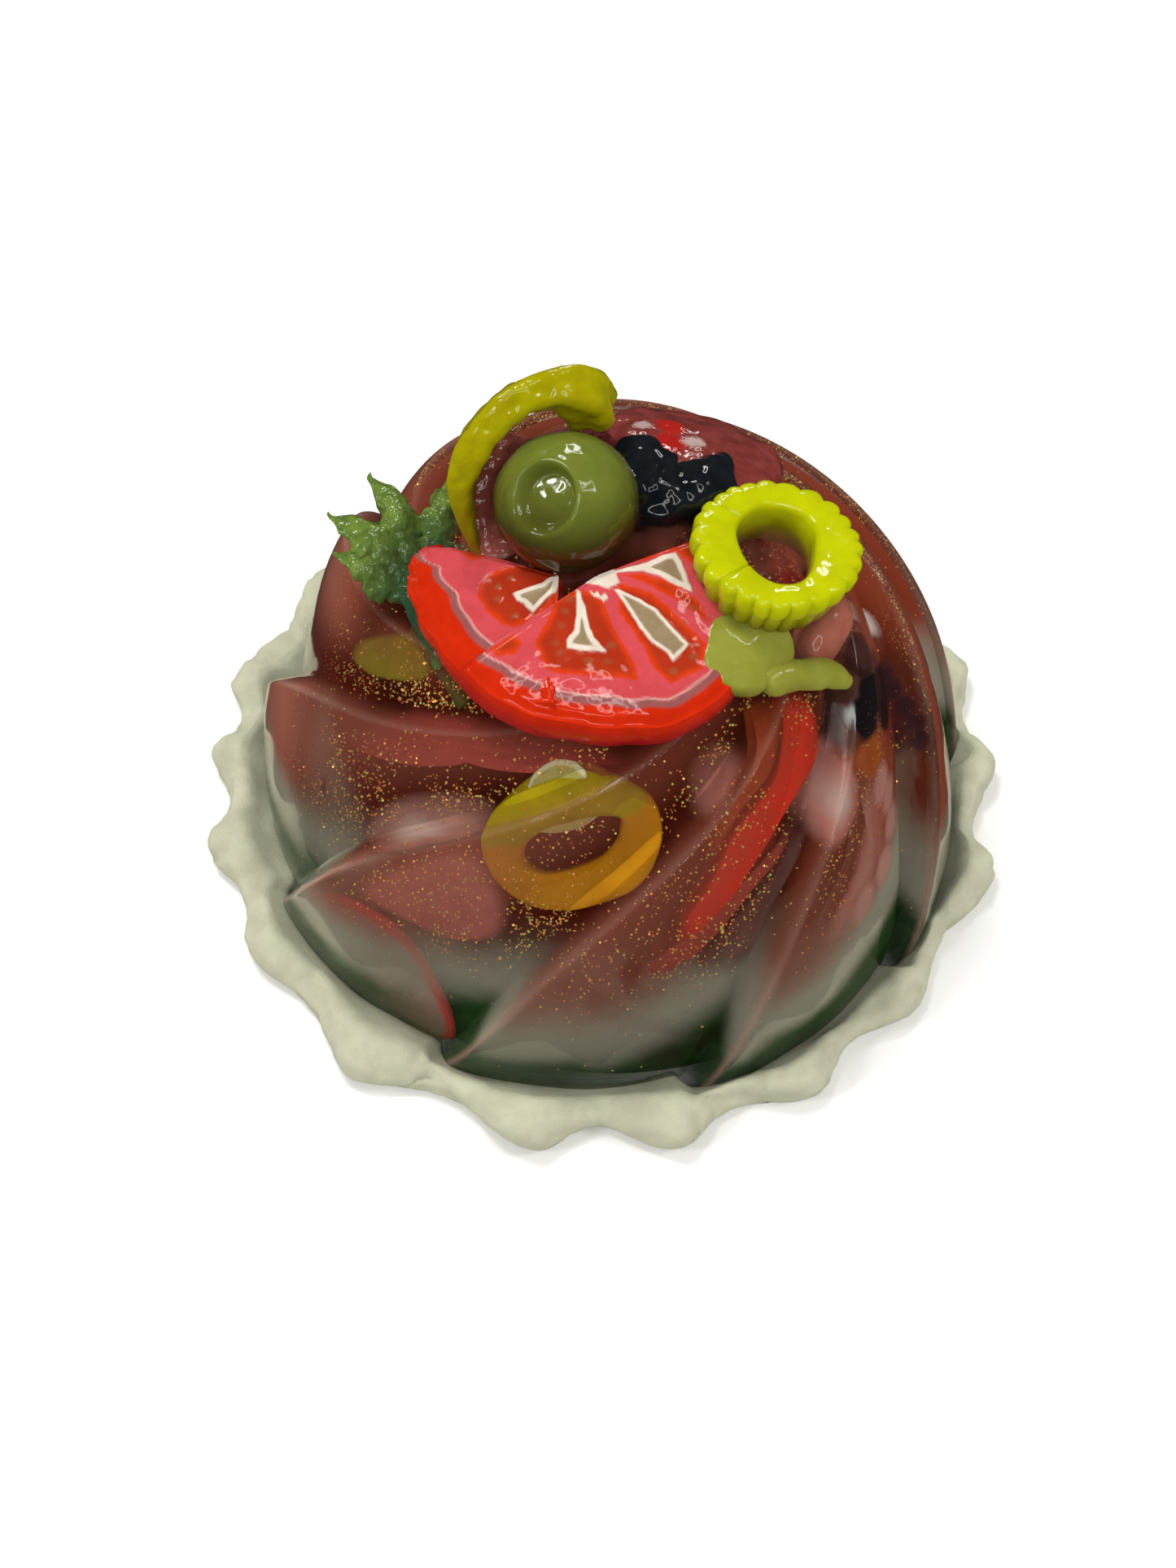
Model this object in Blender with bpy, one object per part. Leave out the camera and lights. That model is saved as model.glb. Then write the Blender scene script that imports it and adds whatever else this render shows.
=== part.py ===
"""A small fluted jelly dome with vegetables on top and a piped border round its foot.

All sizes are in millimetres until a mesh is made. The origin is the middle of the
foot, +Z is up and the front, where the cut tomato faces, is towards -Y.
"""
import math

import bmesh
import bpy
from mathutils import Euler, Vector

MM = 0.001
GAP = 0.3                       # clearance between pieces that touch
SLIVER = 0.03                   # edges shorter than this are welded after a cut

# The dome: a swirled mould with nine leaning flutes.
DOME_RADIUS = 50.5
DOME_HEIGHT = 60.0
DOME_POWER = 2.05               # 2 is an ellipse, more is squarer shouldered
FLUTES = 9
FLUTE_START = math.radians(202.5)
FLUTE_DEPTH = 5.8
FOOT_DEPTH = 0.5                 # share of that depth left at the foot
FLUTE_FALL = 1.35               # how long a flute stays full behind its crest
VALLEY = 0.95                   # where along a flute its lowest line runs
TWIST = (math.radians(70), math.radians(-129), math.radians(329))
TWIST_STOP = 0.86               # share of the climb after which the twist is steady
FLUTE_STEPS = (0.0, 0.12, 0.27, 0.43, 0.6, 0.76, 0.89, VALLEY)
GREEN_TOP = 10.0
MILKY_TOP = 20.5
LAYER_ROWS = 2
DOME_ROWS = 13
DOME_TOP = 0.9                  # the swirl ends in a small flat here, under the toppings

# The border: shells piped one after another round the foot.
SHELL_ANGLES = (2, 20, 41, 60, 82, 101, 122, 143, 164, 177, 193, 211, 233, 260, 279, 299, 319, 343)
BORDER_NECK = 54.9
BORDER_BULGE = 2.6
BORDER_LOW = 5.2
BORDER_HIGH = 7.6
BORDER_DRIFT = 1.3              # how far the border sits off the dome, towards -X
BORDER_COLUMNS = 126
BORDER_SIDES = 9

# The toppings.
TOMATO_RADIUS = 20.5
TOMATO_THICK = 5.4
OLIVE_RADIUS = 8.8
OLIVE_DENT = 3.2
OLIVE_SQUASH = 0.9
RING_RADIUS = 10.4
RING_WALL = 5.0
RING_THICK = 7.4
RING_SCALLOPS = 20

parts = None
cutters = None
laid = []                       # the dome and the toppings put on it so far


# Share of the outline, and of the thickness, at each level of a flat piece.
ROUND_EDGE = ((0.45, 0.5), (0.9, 0.5), (0.98, 0.3), (1.0, 0.0), (0.98, -0.3), (0.9, -0.5))
SKIN_EDGE = ((0.86, 0.5), (0.91, 0.42), (0.97, 0.05), (1.0, -0.35), (0.96, -0.5))
THIN_EDGE = ((0.5, 0.5), (0.94, 0.4), (1.0, 0.0), (0.94, -0.4), (0.5, -0.5))

# ---------------------------------------------------------------- helpers

def clear_scene():
    for item in list(bpy.data.objects):
        bpy.data.objects.remove(item, do_unlink=True)


def collection(name):
    group = bpy.data.collections.new(name)
    bpy.context.scene.collection.children.link(group)
    return group


def finish(name, colour, rough, alpha=1.0):
    material = bpy.data.materials.new(name)
    material.use_nodes = True
    shader = material.node_tree.nodes["Principled BSDF"]
    shader.inputs["Base Color"].default_value = (*colour, 1.0)
    shader.inputs["Roughness"].default_value = rough
    shader.inputs["Metallic"].default_value = 0.0
    shader.inputs["Alpha"].default_value = alpha
    material.diffuse_color = (*colour, 1.0)
    return material


def smooth_step(low, high, value):
    t = min(max((value - low) / (high - low), 0.0), 1.0)
    return t * t * (3 - 2 * t)


def as_object(name, mesh_data, material):
    item = bpy.data.objects.new(name, mesh_data)
    item.data.materials.clear()
    item.data.materials.append(material)
    parts.objects.link(item)
    return item


def loft(rings, closed=False):
    """Skin rings of equal length; an open loft is closed with a fan at each end."""
    bm = bmesh.new()
    rows = [[bm.verts.new(Vector(point) * MM) for point in ring] for ring in rings]
    count = len(rows[0])
    pairs = list(zip(rows, rows[1:]))
    if closed:
        pairs.append((rows[-1], rows[0]))
    for low, high in pairs:
        for i in range(count):
            j = (i + 1) % count
            bm.faces.new((low[i], low[j], high[j], high[i]))
    if not closed:
        for row, flip in ((rows[0], True), (rows[-1], False)):
            middle = bm.verts.new(sum((v.co for v in row), Vector()) / count)
            for i in range(count):
                j = (i + 1) % count
                corners = (row[j], row[i], middle) if flip else (row[i], row[j], middle)
                bm.faces.new(corners)
    return bm


def from_bmesh(name, bm, material, place=None, crease=40):
    """Turn a bmesh into an object whose faces all point outwards."""
    if place is not None:
        location, turn = place
        matrix = Euler([math.radians(a) for a in turn]).to_matrix().to_4x4()
        matrix.translation = Vector(location) * MM
        bm.transform(matrix)
    bmesh.ops.triangulate(bm, faces=bm.faces[:])
    bmesh.ops.recalc_face_normals(bm, faces=bm.faces[:])
    data = bpy.data.meshes.new(name)
    bm.to_mesh(data)
    bm.free()
    data.shade_smooth()
    data.set_sharp_from_angle(angle=math.radians(crease))
    return as_object(name, data, material)


def slab(name, outline, thick, sag, place, material, middle=(0.0, 0.0), levels=ROUND_EDGE):
    """A flat piece: its outline, drawn in round a rounded edge, above and below."""
    rings = []
    for share, level in levels:
        ring = []
        for x, y in outline:
            px = middle[0] + (x - middle[0]) * share
            py = middle[1] + (y - middle[1]) * share
            ring.append((px, py, thick * level - sag(px, py)))
        rings.append(ring)
    return from_bmesh(name, loft(rings), material, place)


def sweep(name, path, section, steps, sides, material, up=(0, 0, 1), place=None, crease=50):
    """Carry a flattened round section along a path; both are functions of 0..1."""
    rings = []
    for i in range(steps + 1):
        t = i / steps
        here = Vector(path(t))
        ahead = Vector(path(min(t + 0.01, 1.0)))
        behind = Vector(path(max(t - 0.01, 0.0)))
        along = (ahead - behind).normalized()
        side = along.cross(Vector(up)).normalized()
        rise = side.cross(along)
        wide, high = section(t)
        ring = []
        for j in range(sides):
            a = 2 * math.pi * j / sides
            ring.append(here + side * wide * math.cos(a) + rise * high * math.sin(a))
        rings.append(ring)
    return from_bmesh(name, loft(rings), material, place, crease)


def through(points):
    """A smooth path through a few points, as a function of 0..1."""
    spots = [Vector(p) for p in points]

    def path(t):
        spans = len(spots) - 1
        i = min(int(t * spans), spans - 1)
        u = t * spans - i
        a = spots[max(i - 1, 0)]
        b, c = spots[i], spots[i + 1]
        d = spots[min(i + 2, spans)]
        return 0.5 * ((2 * b) + (c - a) * u + (2 * a - 5 * b + 4 * c - d) * u ** 2
                      + (3 * b - a - 3 * c + d) * u ** 3)
    return path


def biggest_island(bm):
    """Drop every loose scrap that a cut leaves behind."""
    seen = set()
    islands = []
    for start in bm.faces:
        if start in seen:
            continue
        group = {start}
        queue = [start]
        while queue:
            face = queue.pop()
            for edge in face.edges:
                for other in edge.link_faces:
                    if other not in group:
                        group.add(other)
                        queue.append(other)
        seen |= group
        islands.append(group)
    keep = max(islands, key=len)
    scraps = [face for face in bm.faces if face not in keep]
    bmesh.ops.delete(bm, geom=scraps, context="FACES")


def weld_slivers(bm):
    """Weld the tiny edges that a cut leaves, unless that would open the surface."""
    welded = bm.copy()
    bmesh.ops.remove_doubles(welded, verts=welded.verts[:], dist=SLIVER * MM)
    closed = all(edge.is_manifold for edge in welded.edges)
    best, spare = (welded, bm) if closed else (bm, welded)
    spare.free()
    return best


def boolean(item, others, operation):
    """Apply one Boolean of a list of objects, which are then removed."""
    group = bpy.data.collections.new("operands")
    for other in others:
        group.objects.link(other)
    step = item.modifiers.new("step", "BOOLEAN")
    step.operation = operation
    step.operand_type = "COLLECTION"
    step.collection = group
    step.solver = "MANIFOLD"
    bpy.context.view_layer.update()
    seen = item.evaluated_get(bpy.context.evaluated_depsgraph_get())
    data = bpy.data.meshes.new_from_object(seen)
    item.modifiers.remove(step)
    bm = bmesh.new()
    bm.from_mesh(data)
    biggest_island(bm)
    bm = weld_slivers(bm)
    bmesh.ops.triangulate(bm, faces=bm.faces[:])
    bm.to_mesh(data)
    bm.free()
    item.data = data
    for other in others:
        bpy.data.objects.remove(other, do_unlink=True)
    bpy.data.collections.remove(group)


def swollen(item, grow):
    """A copy of a piece, grown along its normals, for cutting its neighbours."""
    bm = bmesh.new()
    bm.from_mesh(item.data)
    bm.normal_update()
    shifts = [v.normal * grow * MM for v in bm.verts]
    for vert, shift in zip(bm.verts, shifts):
        vert.co += shift
    data = bpy.data.meshes.new(item.name + "_cutter")
    bm.to_mesh(data)
    bm.free()
    copy = bpy.data.objects.new(item.name + "_cutter", data)
    copy.hide_render = True
    copy.display_type = "WIRE"
    cutters.objects.link(copy)
    return copy


def add(item):
    """Cut a topping to the pieces laid before it, a small gap clear of each."""
    for lower in laid:
        boolean(item, [swollen(lower, GAP)], "DIFFERENCE")
    laid.append(item)


# ---------------------------------------------------------------- dome

def climb(z):
    """Share of the way up the swirl, from a height."""
    return math.asin(min((z / DOME_HEIGHT) ** (DOME_POWER / 2), 1.0)) * 2 / math.pi


def height_at(share):
    return DOME_HEIGHT * math.sin(share * math.pi / 2) ** (2 / DOME_POWER)


def crest_radius(share):
    return DOME_RADIUS * math.cos(share * math.pi / 2) ** (2 / DOME_POWER)


def twist(share):
    s = min(share, TWIST_STOP)
    one, two, three = TWIST
    turn = one * s + two * s ** 2 + three * s ** 3
    slope = one + 2 * two * s + 3 * three * s ** 2
    return turn + slope * (share - s)


def hollow(along):
    """Depth of a flute, 0 at its crest and 1 at its valley."""
    if along < VALLEY:
        return (along / VALLEY) ** FLUTE_FALL
    return (1 - along) / (1 - VALLEY)


def dome_radius(share, along):
    crest = crest_radius(share)
    foot = FOOT_DEPTH + (1 - FOOT_DEPTH) * smooth_step(0.0, 0.3, share)
    depth = FLUTE_DEPTH * foot * (crest / DOME_RADIUS) ** 0.8
    return crest - depth * hollow(along)


def dome_ring(share, z):
    pitch = 2 * math.pi / FLUTES
    ring = []
    for flute in range(FLUTES):
        for along in FLUTE_STEPS:
            angle = FLUTE_START + twist(share) + pitch * (flute + along)
            radius = dome_radius(share, along)
            ring.append((radius * math.cos(angle), radius * math.sin(angle), z))
    return ring


def dome_layer(name, low, high, rows, material):
    bottom, top = climb(low), climb(high)
    rings = []
    for row in range(rows + 1):
        share = bottom + (top - bottom) * row / rows
        rings.append(dome_ring(share, height_at(share)))
    return from_bmesh(name, loft(rings), material, crease=35)


def make_dome():
    green = finish("green_jelly", (0.02, 0.06, 0.03), 0.1)
    milk = finish("milky_jelly", (0.45, 0.47, 0.42), 0.1)
    brown = finish("brown_jelly", (0.24, 0.06, 0.045), 0.08)
    half = GAP / 2
    dome_layer("green_layer", 0.0, GREEN_TOP - half, LAYER_ROWS, green)
    dome_layer("milky_layer", GREEN_TOP + half, MILKY_TOP - half, LAYER_ROWS, milk)
    laid.append(dome_layer("jelly_dome", MILKY_TOP + half, height_at(DOME_TOP), DOME_ROWS, brown))


# ---------------------------------------------------------------- border

def foot_radius(angle):
    """The dome's reach near the floor, taken a little to each side of an angle."""
    pitch = 2 * math.pi / FLUTES
    reach = 0.0
    for z in (0.0, BORDER_HIGH / 2, BORDER_HIGH):
        share = climb(z)
        for spread in (-2.2, -1.1, 0.0, 1.1, 2.2):
            turned = angle + math.radians(spread) - FLUTE_START - twist(share)
            reach = max(reach, dome_radius(share, (turned / pitch) % 1))
    return reach + GAP


def shell_swell(angle):
    """1 at a shell's round head, falling to 0 along its tail."""
    degrees = math.degrees(angle) % 360
    heads = sorted(SHELL_ANGLES)
    starts = [h for h in heads if h <= degrees]
    start = starts[-1] if starts else heads[-1] - 360
    ends = [h for h in heads if h > degrees]
    end = ends[0] if ends else heads[0] + 360
    along = (degrees - start) / (end - start)
    tail = 1 - smooth_step(0.05, 0.72, along)
    head = smooth_step(0.72, 1.0, along)
    return max(tail, head)


def make_border():
    clay = finish("cream_clay", (0.60, 0.60, 0.44), 0.75)
    rings = []
    for i in range(BORDER_COLUMNS):
        angle = 2 * math.pi * i / BORDER_COLUMNS
        swell = shell_swell(angle)
        inner = foot_radius(angle)
        outer = BORDER_NECK + BORDER_BULGE * swell - BORDER_DRIFT * math.cos(angle)
        high = BORDER_LOW + (BORDER_HIGH - BORDER_LOW) * swell
        middle, half = (inner + outer) / 2, (outer - inner) / 2
        ring = []
        for j in range(BORDER_SIDES):
            a = 2 * math.pi * (j + 0.5) / BORDER_SIDES
            across = math.copysign(abs(math.cos(a)) ** 0.7, math.cos(a))
            upward = math.copysign(abs(math.sin(a)) ** 0.8, math.sin(a))
            radius = middle + half * across
            z = max(0.0, high * (0.42 + 0.58 * upward))
            ring.append((radius * math.cos(angle), radius * math.sin(angle), z))
        rings.append(ring)
    return from_bmesh("piped_border", loft(rings, closed=True), clay, crease=60)


# ---------------------------------------------------------------- toppings

def sector(radius, start, stop, arc_points, cut_points):
    """Outline of a cut slice: an arc, then straight cuts through its middle."""
    outline = []
    for i in range(arc_points):
        a = math.radians(start + (stop - start) * i / (arc_points - 1))
        outline.append((radius * math.cos(a), radius * math.sin(a)))
    first, last = outline[0], outline[-1]
    for i in range(1, cut_points + 1):
        k = 1 - i / cut_points
        outline.append((last[0] * k, last[1] * k))
    for i in range(1, cut_points):
        k = i / cut_points
        outline.append((first[0] * k, first[1] * k))
    return outline


def lean(radius, drop):
    """A gentle droop towards the rim of a slice that lies on the dome."""
    return lambda x, y: drop * (x * x + y * y) / (radius * radius)


def make_tomatoes():
    red = finish("tomato", (0.70, 0.05, 0.03), 0.25)
    droop = lean(TOMATO_RADIUS, 2.6)
    left = sector(TOMATO_RADIUS, 148, 208, 10, 3)
    front = sector(TOMATO_RADIUS, 213, 393, 19, 3)
    add(slab("tomato_left", left, TOMATO_THICK, droop, ((-6.2, -8.0, 59.4), (4, -15, 0)), red,
             levels=SKIN_EDGE))
    add(slab("tomato_front", front, TOMATO_THICK, droop, ((-2.4, -8.8, 61.0), (16, 4, 0)), red,
             levels=SKIN_EDGE))


def make_olive():
    green = finish("green_olive", (0.16, 0.20, 0.05), 0.2)
    axis = Vector((-0.33, -0.49, 0.80)).normalized()
    bm = ball(22, 13)
    for vert in bm.verts:
        away = vert.co.angle(axis)
        vert.co *= OLIVE_RADIUS * MM
        vert.co -= axis * OLIVE_DENT * (1 - smooth_step(0.3, 0.56, away)) * MM
        vert.co.z *= OLIVE_SQUASH
    add(from_bmesh("green_olive", bm, green, ((-5.9, -0.2, 65.5), (0, 0, 0)), 70))


def ball(segments, rings):
    """A unit sphere as a bmesh."""
    bm = bmesh.new()
    bmesh.ops.create_uvsphere(bm, u_segments=segments, v_segments=rings, radius=1.0)
    return bm


def make_rose_slice():
    rose = finish("rose_slice", (0.32, 0.05, 0.05), 0.15)
    outline = wobbly_round(12.6, 10.8, 28, ((3, 0.5, 1.0), (7, 0.3, 0.0)))
    add(slab("rose_slice", outline, 3.6, lean(12, 2.0), ((9.4, 12.6, 60.0), (-20, 12, 0)), rose))


def wobbly_round(wide, deep, count, waves):
    """An uneven oval; each wave is its number of lobes, their height and their turn."""
    outline = []
    for i in range(count):
        a = 2 * math.pi * i / count
        swell = sum(high * math.sin(lobes * a + turn) for lobes, high, turn in waves)
        outline.append(((wide + swell) * math.cos(a), (deep + swell) * math.sin(a)))
    return outline


def make_black_olive():
    black = finish("black_olive", (0.006, 0.008, 0.014), 0.12)
    path = through(((0.6, 5.4, 61.4), (4.2, 4.8, 63.0), (8.0, 2.4, 61.0), (12.0, 3.4, 62.0),
                    (15.8, 3.0, 59.6)))

    def section(t):
        return 5.6 + 0.5 * math.sin(9 * t) - 2.2 * t, 3.2 + 0.4 * math.cos(7 * t)
    add(sweep("black_olive_slice", path, section, 13, 12, black))


def make_pepper_ring():
    yellow = finish("yellow_pepper", (0.55, 0.60, 0.0), 0.3)
    columns, rings = 60, []
    half = RING_THICK / 2
    for i in range(columns):
        a = 2 * math.pi * i / columns
        scallop = 0.4 * abs(math.sin(RING_SCALLOPS * a / 2))
        outer = RING_RADIUS - 0.4 + scallop + 0.25 * math.sin(2 * a + 0.6)
        inner = RING_RADIUS - RING_WALL + 0.55 * math.cos(2 * a) + 0.35 * math.sin(3 * a)
        section = ((outer - 0.6, half), (outer, half - 0.8), (outer - 1.6, -half),
                   (inner + 0.5, -half), (inner, half - 0.7), (inner + 0.6, half))
        rings.append([(r * math.cos(a), r * math.sin(a), z) for r, z in section])
    add(from_bmesh("pepper_ring", loft(rings, closed=True), yellow,
                   ((18.3, -4.6, 60.4), (-11, 11, 10)), 50))


def make_pepper_arc():
    yellow = finish("yellow_pepper_arc", (0.42, 0.42, 0.0), 0.3)
    path = through(((-16.4, -2.0, 56.5), (-18.0, 0.6, 61.0), (-18.4, 2.8, 66.0), (-16.2, 5.4, 70.6),
                    (-12.0, 8.2, 73.8), (-7.0, 10.0, 74.2), (-3.6, 11.0, 71.6), (-2.8, 11.6, 68.6)))

    def section(t):
        full = smooth_step(0.0, 0.4, t)
        return 0.9 + 1.5 * full, 0.9 + 1.3 * full
    add(sweep("pepper_arc", path, section, 22, 10, yellow, up=(0.6, -0.8, 0.1)))


def make_ham():
    pink = finish("ham", (0.33, 0.08, 0.08), 0.35)
    strip = through(((-13.2, -1.8, 57.0), (-14.6, 2.6, 60.0), (-14.2, 6.4, 63.6), (-12.4, 9.4, 67.2)))
    add(sweep("ham_strip", strip, lambda t: (3.2 + 0.4 * math.sin(5 * t), 0.9), 9, 10, pink,
              up=(0.3, -0.8, 0.6)))
    shred = through(((-4.4, 13.0, 57.0), (-5.4, 11.8, 61.6), (-6.0, 10.0, 66.0)))
    add(sweep("ham_shred", shred, lambda t: (4.8 + 0.5 * math.sin(13 * t), 1.3 - 0.4 * t), 8, 12, pink,
              up=(0.1, -0.9, 0.3)))


def leaf_outline(length, width, teeth):
    """A ragged leaf, up one side and back down the other."""
    steps = 11
    side = []
    for i in range(1, steps):
        t = i / steps
        tooth = 1 + 0.34 * math.sin(2 * math.pi * teeth * t)
        side.append((length * t, width / 2 * math.sin(math.pi * t ** 0.8) * tooth))
    back = [(x, -0.9 * y) for x, y in reversed(side)]
    return [(0.0, 0.0)] + side + [(length, 0.0)] + back


def leaf_wave(x, y):
    return 0.7 * math.sin(0.55 * x) - 0.1 * y * y


def make_sprig():
    green = finish("herb", (0.06, 0.16, 0.03), 0.3)
    spread = (((-22.4, -3.4, 54.4), (10, -20, 142), 16.0, 8.0, 3),
              ((-22.4, -1.0, 55.4), (26, -14, 108), 14.0, 7.2, 2),
              ((-20.6, -0.6, 56.0), (20, -8, 74), 9.0, 5.6, 2),
              ((-23.2, -4.2, 53.6), (-8, -20, 158), 13.5, 6.4, 2))
    leaves = []
    for number, (spot, turn, length, width, teeth) in enumerate(spread):
        outline = leaf_outline(length, width, teeth)
        leaves.append(slab("herb_leaf_%d" % number, outline, 2.2, leaf_wave, (spot, turn), green,
                           (length * 0.45, 0), THIN_EDGE))
    stem = through(((-18.6, -14.2, 52.6), (-21.4, -8.8, 53.6), (-24.4, -3.2, 54.4), (-28.0, 1.4, 54.8)))
    sprig = sweep("herb_sprig", stem, lambda t: (2.4 - 0.8 * t, 1.7 - 0.6 * t), 7, 8, green)
    boolean(sprig, leaves, "UNION")
    add(sprig)


def make_pickles():
    pale = finish("pale_pickle", (0.36, 0.42, 0.12), 0.3)
    outline = wobbly_round(5.0, 5.0, 20, ((2, 0.5, 0.0), (5, 0.45, 1.0)))
    add(slab("pickle_chunk", outline, 3.4, lean(5, 0.6), ((15.0, -16.6, 56.4), (22, 20, 0)), pale))
    finger = through(((17.4, -18.8, 54.6), (21.0, -17.2, 53.6), (25.0, -15.8, 52.0), (28.8, -15.4, 49.6)))
    add(sweep("pickle_finger", finger, lambda t: (2.1 - 0.9 * t ** 4, 2.0 - 0.8 * t ** 3), 10, 8, pale))


def make_radish():
    pink = finish("radish", (0.42, 0.14, 0.13), 0.25)
    bm = ball(16, 10)
    bmesh.ops.scale(bm, vec=(3.0 * MM, 4.8 * MM, 3.4 * MM), verts=bm.verts[:])
    add(from_bmesh("radish_lump", bm, pink, ((24.6, -9.4, 52.6), (12, 30, -20)), 70))


def centre_on_origin():
    """Shift every piece so that the whole part stands over the middle of its own box."""
    spots = [v.co for item in parts.objects for v in item.data.vertices]
    for axis in (0, 1):
        values = [spot[axis] for spot in spots]
        middle = (min(values) + max(values)) / 2
        for item in parts.objects:
            for vert in item.data.vertices:
                vert.co[axis] -= middle


def build():
    global parts, cutters
    clear_scene()
    parts = collection("aspic")
    cutters = collection("cutters")
    make_dome()
    make_border()
    make_tomatoes()
    make_olive()
    make_rose_slice()
    make_black_olive()
    make_pepper_ring()
    make_pepper_arc()
    make_ham()
    make_sprig()
    make_pickles()
    make_radish()
    centre_on_origin()


build()
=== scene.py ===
# %% [markdown]
# # A play-food aspic, dressed for its picture
#
# The object is a small fluted dome of cast resin that stands for a savoury jelly. Slices and
# strips of moulded clay lie on its top and hang inside it, and a border of soft clay is piped
# round its foot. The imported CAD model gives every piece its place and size. This script puts a
# finer piece over each plain solid and gives it its finish.

# %% Load the frame
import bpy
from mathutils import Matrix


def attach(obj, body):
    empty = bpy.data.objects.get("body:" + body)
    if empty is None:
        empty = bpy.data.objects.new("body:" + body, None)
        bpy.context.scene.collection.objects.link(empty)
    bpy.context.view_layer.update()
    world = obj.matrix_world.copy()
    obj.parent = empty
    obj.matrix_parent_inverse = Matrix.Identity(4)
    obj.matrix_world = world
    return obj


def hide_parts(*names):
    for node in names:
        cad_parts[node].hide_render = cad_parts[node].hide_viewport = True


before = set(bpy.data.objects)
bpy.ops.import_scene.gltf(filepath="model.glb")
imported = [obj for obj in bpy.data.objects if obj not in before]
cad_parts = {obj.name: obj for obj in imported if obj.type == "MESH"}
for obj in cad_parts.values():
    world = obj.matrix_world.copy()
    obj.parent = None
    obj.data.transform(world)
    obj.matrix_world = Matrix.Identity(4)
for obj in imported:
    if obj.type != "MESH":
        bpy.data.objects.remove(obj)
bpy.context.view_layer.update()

import math
import random

import bmesh
import bpy
from mathutils import Euler, Vector, noise

print("solids to dress:", ", ".join(sorted(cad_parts)))

# %% [markdown]
# All sizes below are in millimetres, as a maker would write them, and turn into metres only when
# a mesh is made. The middle of the dome is a little off the middle of the whole part, because
# the border is wider on one side, so every place is given from the dome's own axis.

# %% Units and axis
MM = 0.001
AXIS = Vector((1.263, 0.05, 0.0))
TAU = 2 * math.pi


def metres(point):
    """A point measured from the dome's axis, in the row frame."""
    return (Vector(point) + AXIS) * MM


def ease(low, high, value):
    """A soft step from 0 to 1."""
    t = min(max((value - low) / (high - low), 0.0), 1.0)
    return t * t * (3 - 2 * t)


print("dome axis at %.2f, %.2f mm" % (AXIS.x, AXIS.y))

# %% [markdown]
# ## The camera
#
# The picture looks down on the dome from the front, at nearly sixty degrees above the table. A
# camera can be placed by hand, but here its tilt, distance and focal length were fitted to the
# border and the flutes, so it is built from those numbers.

# %% Camera
LOOK_DOWN = math.radians(58.7)
DISTANCE = 0.3196
AIM = Vector((-0.0020, 0.00015, 0.0))
SENSOR = 36
FOCAL_PIXELS, PICTURE_HEIGHT = 2700, 1927
FOCAL = FOCAL_PIXELS / PICTURE_HEIGHT * SENSOR

camera_data = bpy.data.cameras.new("camera")
camera_data.lens = FOCAL
camera_data.sensor_width = SENSOR
camera_data.clip_start = 0.01
camera = bpy.data.objects.new("camera", camera_data)
camera.location = AIM + DISTANCE * Vector((0, -math.cos(LOOK_DOWN), math.sin(LOOK_DOWN)))
camera.rotation_euler = (math.pi / 2 - LOOK_DOWN, 0, 0)
bpy.context.scene.collection.objects.link(camera)
bpy.context.scene.camera = camera
print("camera %.1f mm lens, %.0f mm away" % (FOCAL, DISTANCE * 1000))

# %% [markdown]
# ## Helpers for meshes
#
# Most pieces here are a row of rings with skin between them: a dome is rings of growing height,
# a strip is rings along a path, a slice is rings drawn in round its edge. One helper skins the
# rings and another turns the result into a piece of the object, so that every later cell only
# has to say where its rings lie.

# %% Mesh helpers
def loft(rings, closed=False):
    """Points and faces of rings of equal length, capped with a fan unless it is closed."""
    points = [tuple(p) for ring in rings for p in ring]
    count = len(rings[0])
    faces = []
    pairs = [(i, i + 1) for i in range(len(rings) - 1)]
    if closed:
        pairs.append((len(rings) - 1, 0))
    for low, high in pairs:
        for i in range(count):
            j = (i + 1) % count
            faces.append((low * count + i, low * count + j, high * count + j, high * count + i))
    if not closed:
        for row, flip in ((0, True), (len(rings) - 1, False)):
            middle = sum((Vector(p) for p in rings[row]), Vector()) / count
            points.append(tuple(middle))
            for i in range(count):
                a, b = row * count + i, row * count + (i + 1) % count
                faces.append((b, a, len(points) - 1) if flip else (a, b, len(points) - 1))
    return points, faces


def make_piece(name, shape, material, slot, node=None, place=None, crease=None):
    """Make a piece of the object. Its place is a spot and a turn, or the dome's axis."""
    points, faces = shape
    mesh = bpy.data.meshes.new(name)
    mesh.from_pydata([tuple(Vector(p) * MM) for p in points], [], faces)
    bm = bmesh.new()
    bm.from_mesh(mesh)
    bmesh.ops.recalc_face_normals(bm, faces=bm.faces[:])
    bm.to_mesh(mesh)
    bm.free()
    mesh.shade_smooth()
    if crease is not None:
        mesh.set_sharp_from_angle(angle=math.radians(crease))
    mesh.materials.append(material)
    piece = bpy.data.objects.new(name, mesh)
    spot, turn = place or ((0, 0, 0), (0, 0, 0))
    matrix = Euler([math.radians(a) for a in turn]).to_matrix().to_4x4()
    matrix.translation = metres(spot)
    piece.matrix_world = matrix
    bpy.context.scene.collection.objects.link(piece)
    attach(piece, "root")
    if node is not None:
        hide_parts(node)
    print("%s: %d faces" % (name, len(faces)))
    return piece


def through(spots):
    """A smooth path through a few points, as a function of 0 to 1."""
    stops = [Vector(p) for p in spots]

    def path(t):
        spans = len(stops) - 1
        i = min(int(t * spans), spans - 1)
        u = t * spans - i
        a, b, c = stops[max(i - 1, 0)], stops[i], stops[i + 1]
        d = stops[min(i + 2, spans)]
        return 0.5 * ((2 * b) + (c - a) * u + (2 * a - 5 * b + 4 * c - d) * u ** 2
                      + (3 * b - a - 3 * c + d) * u ** 3)
    return path


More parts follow.
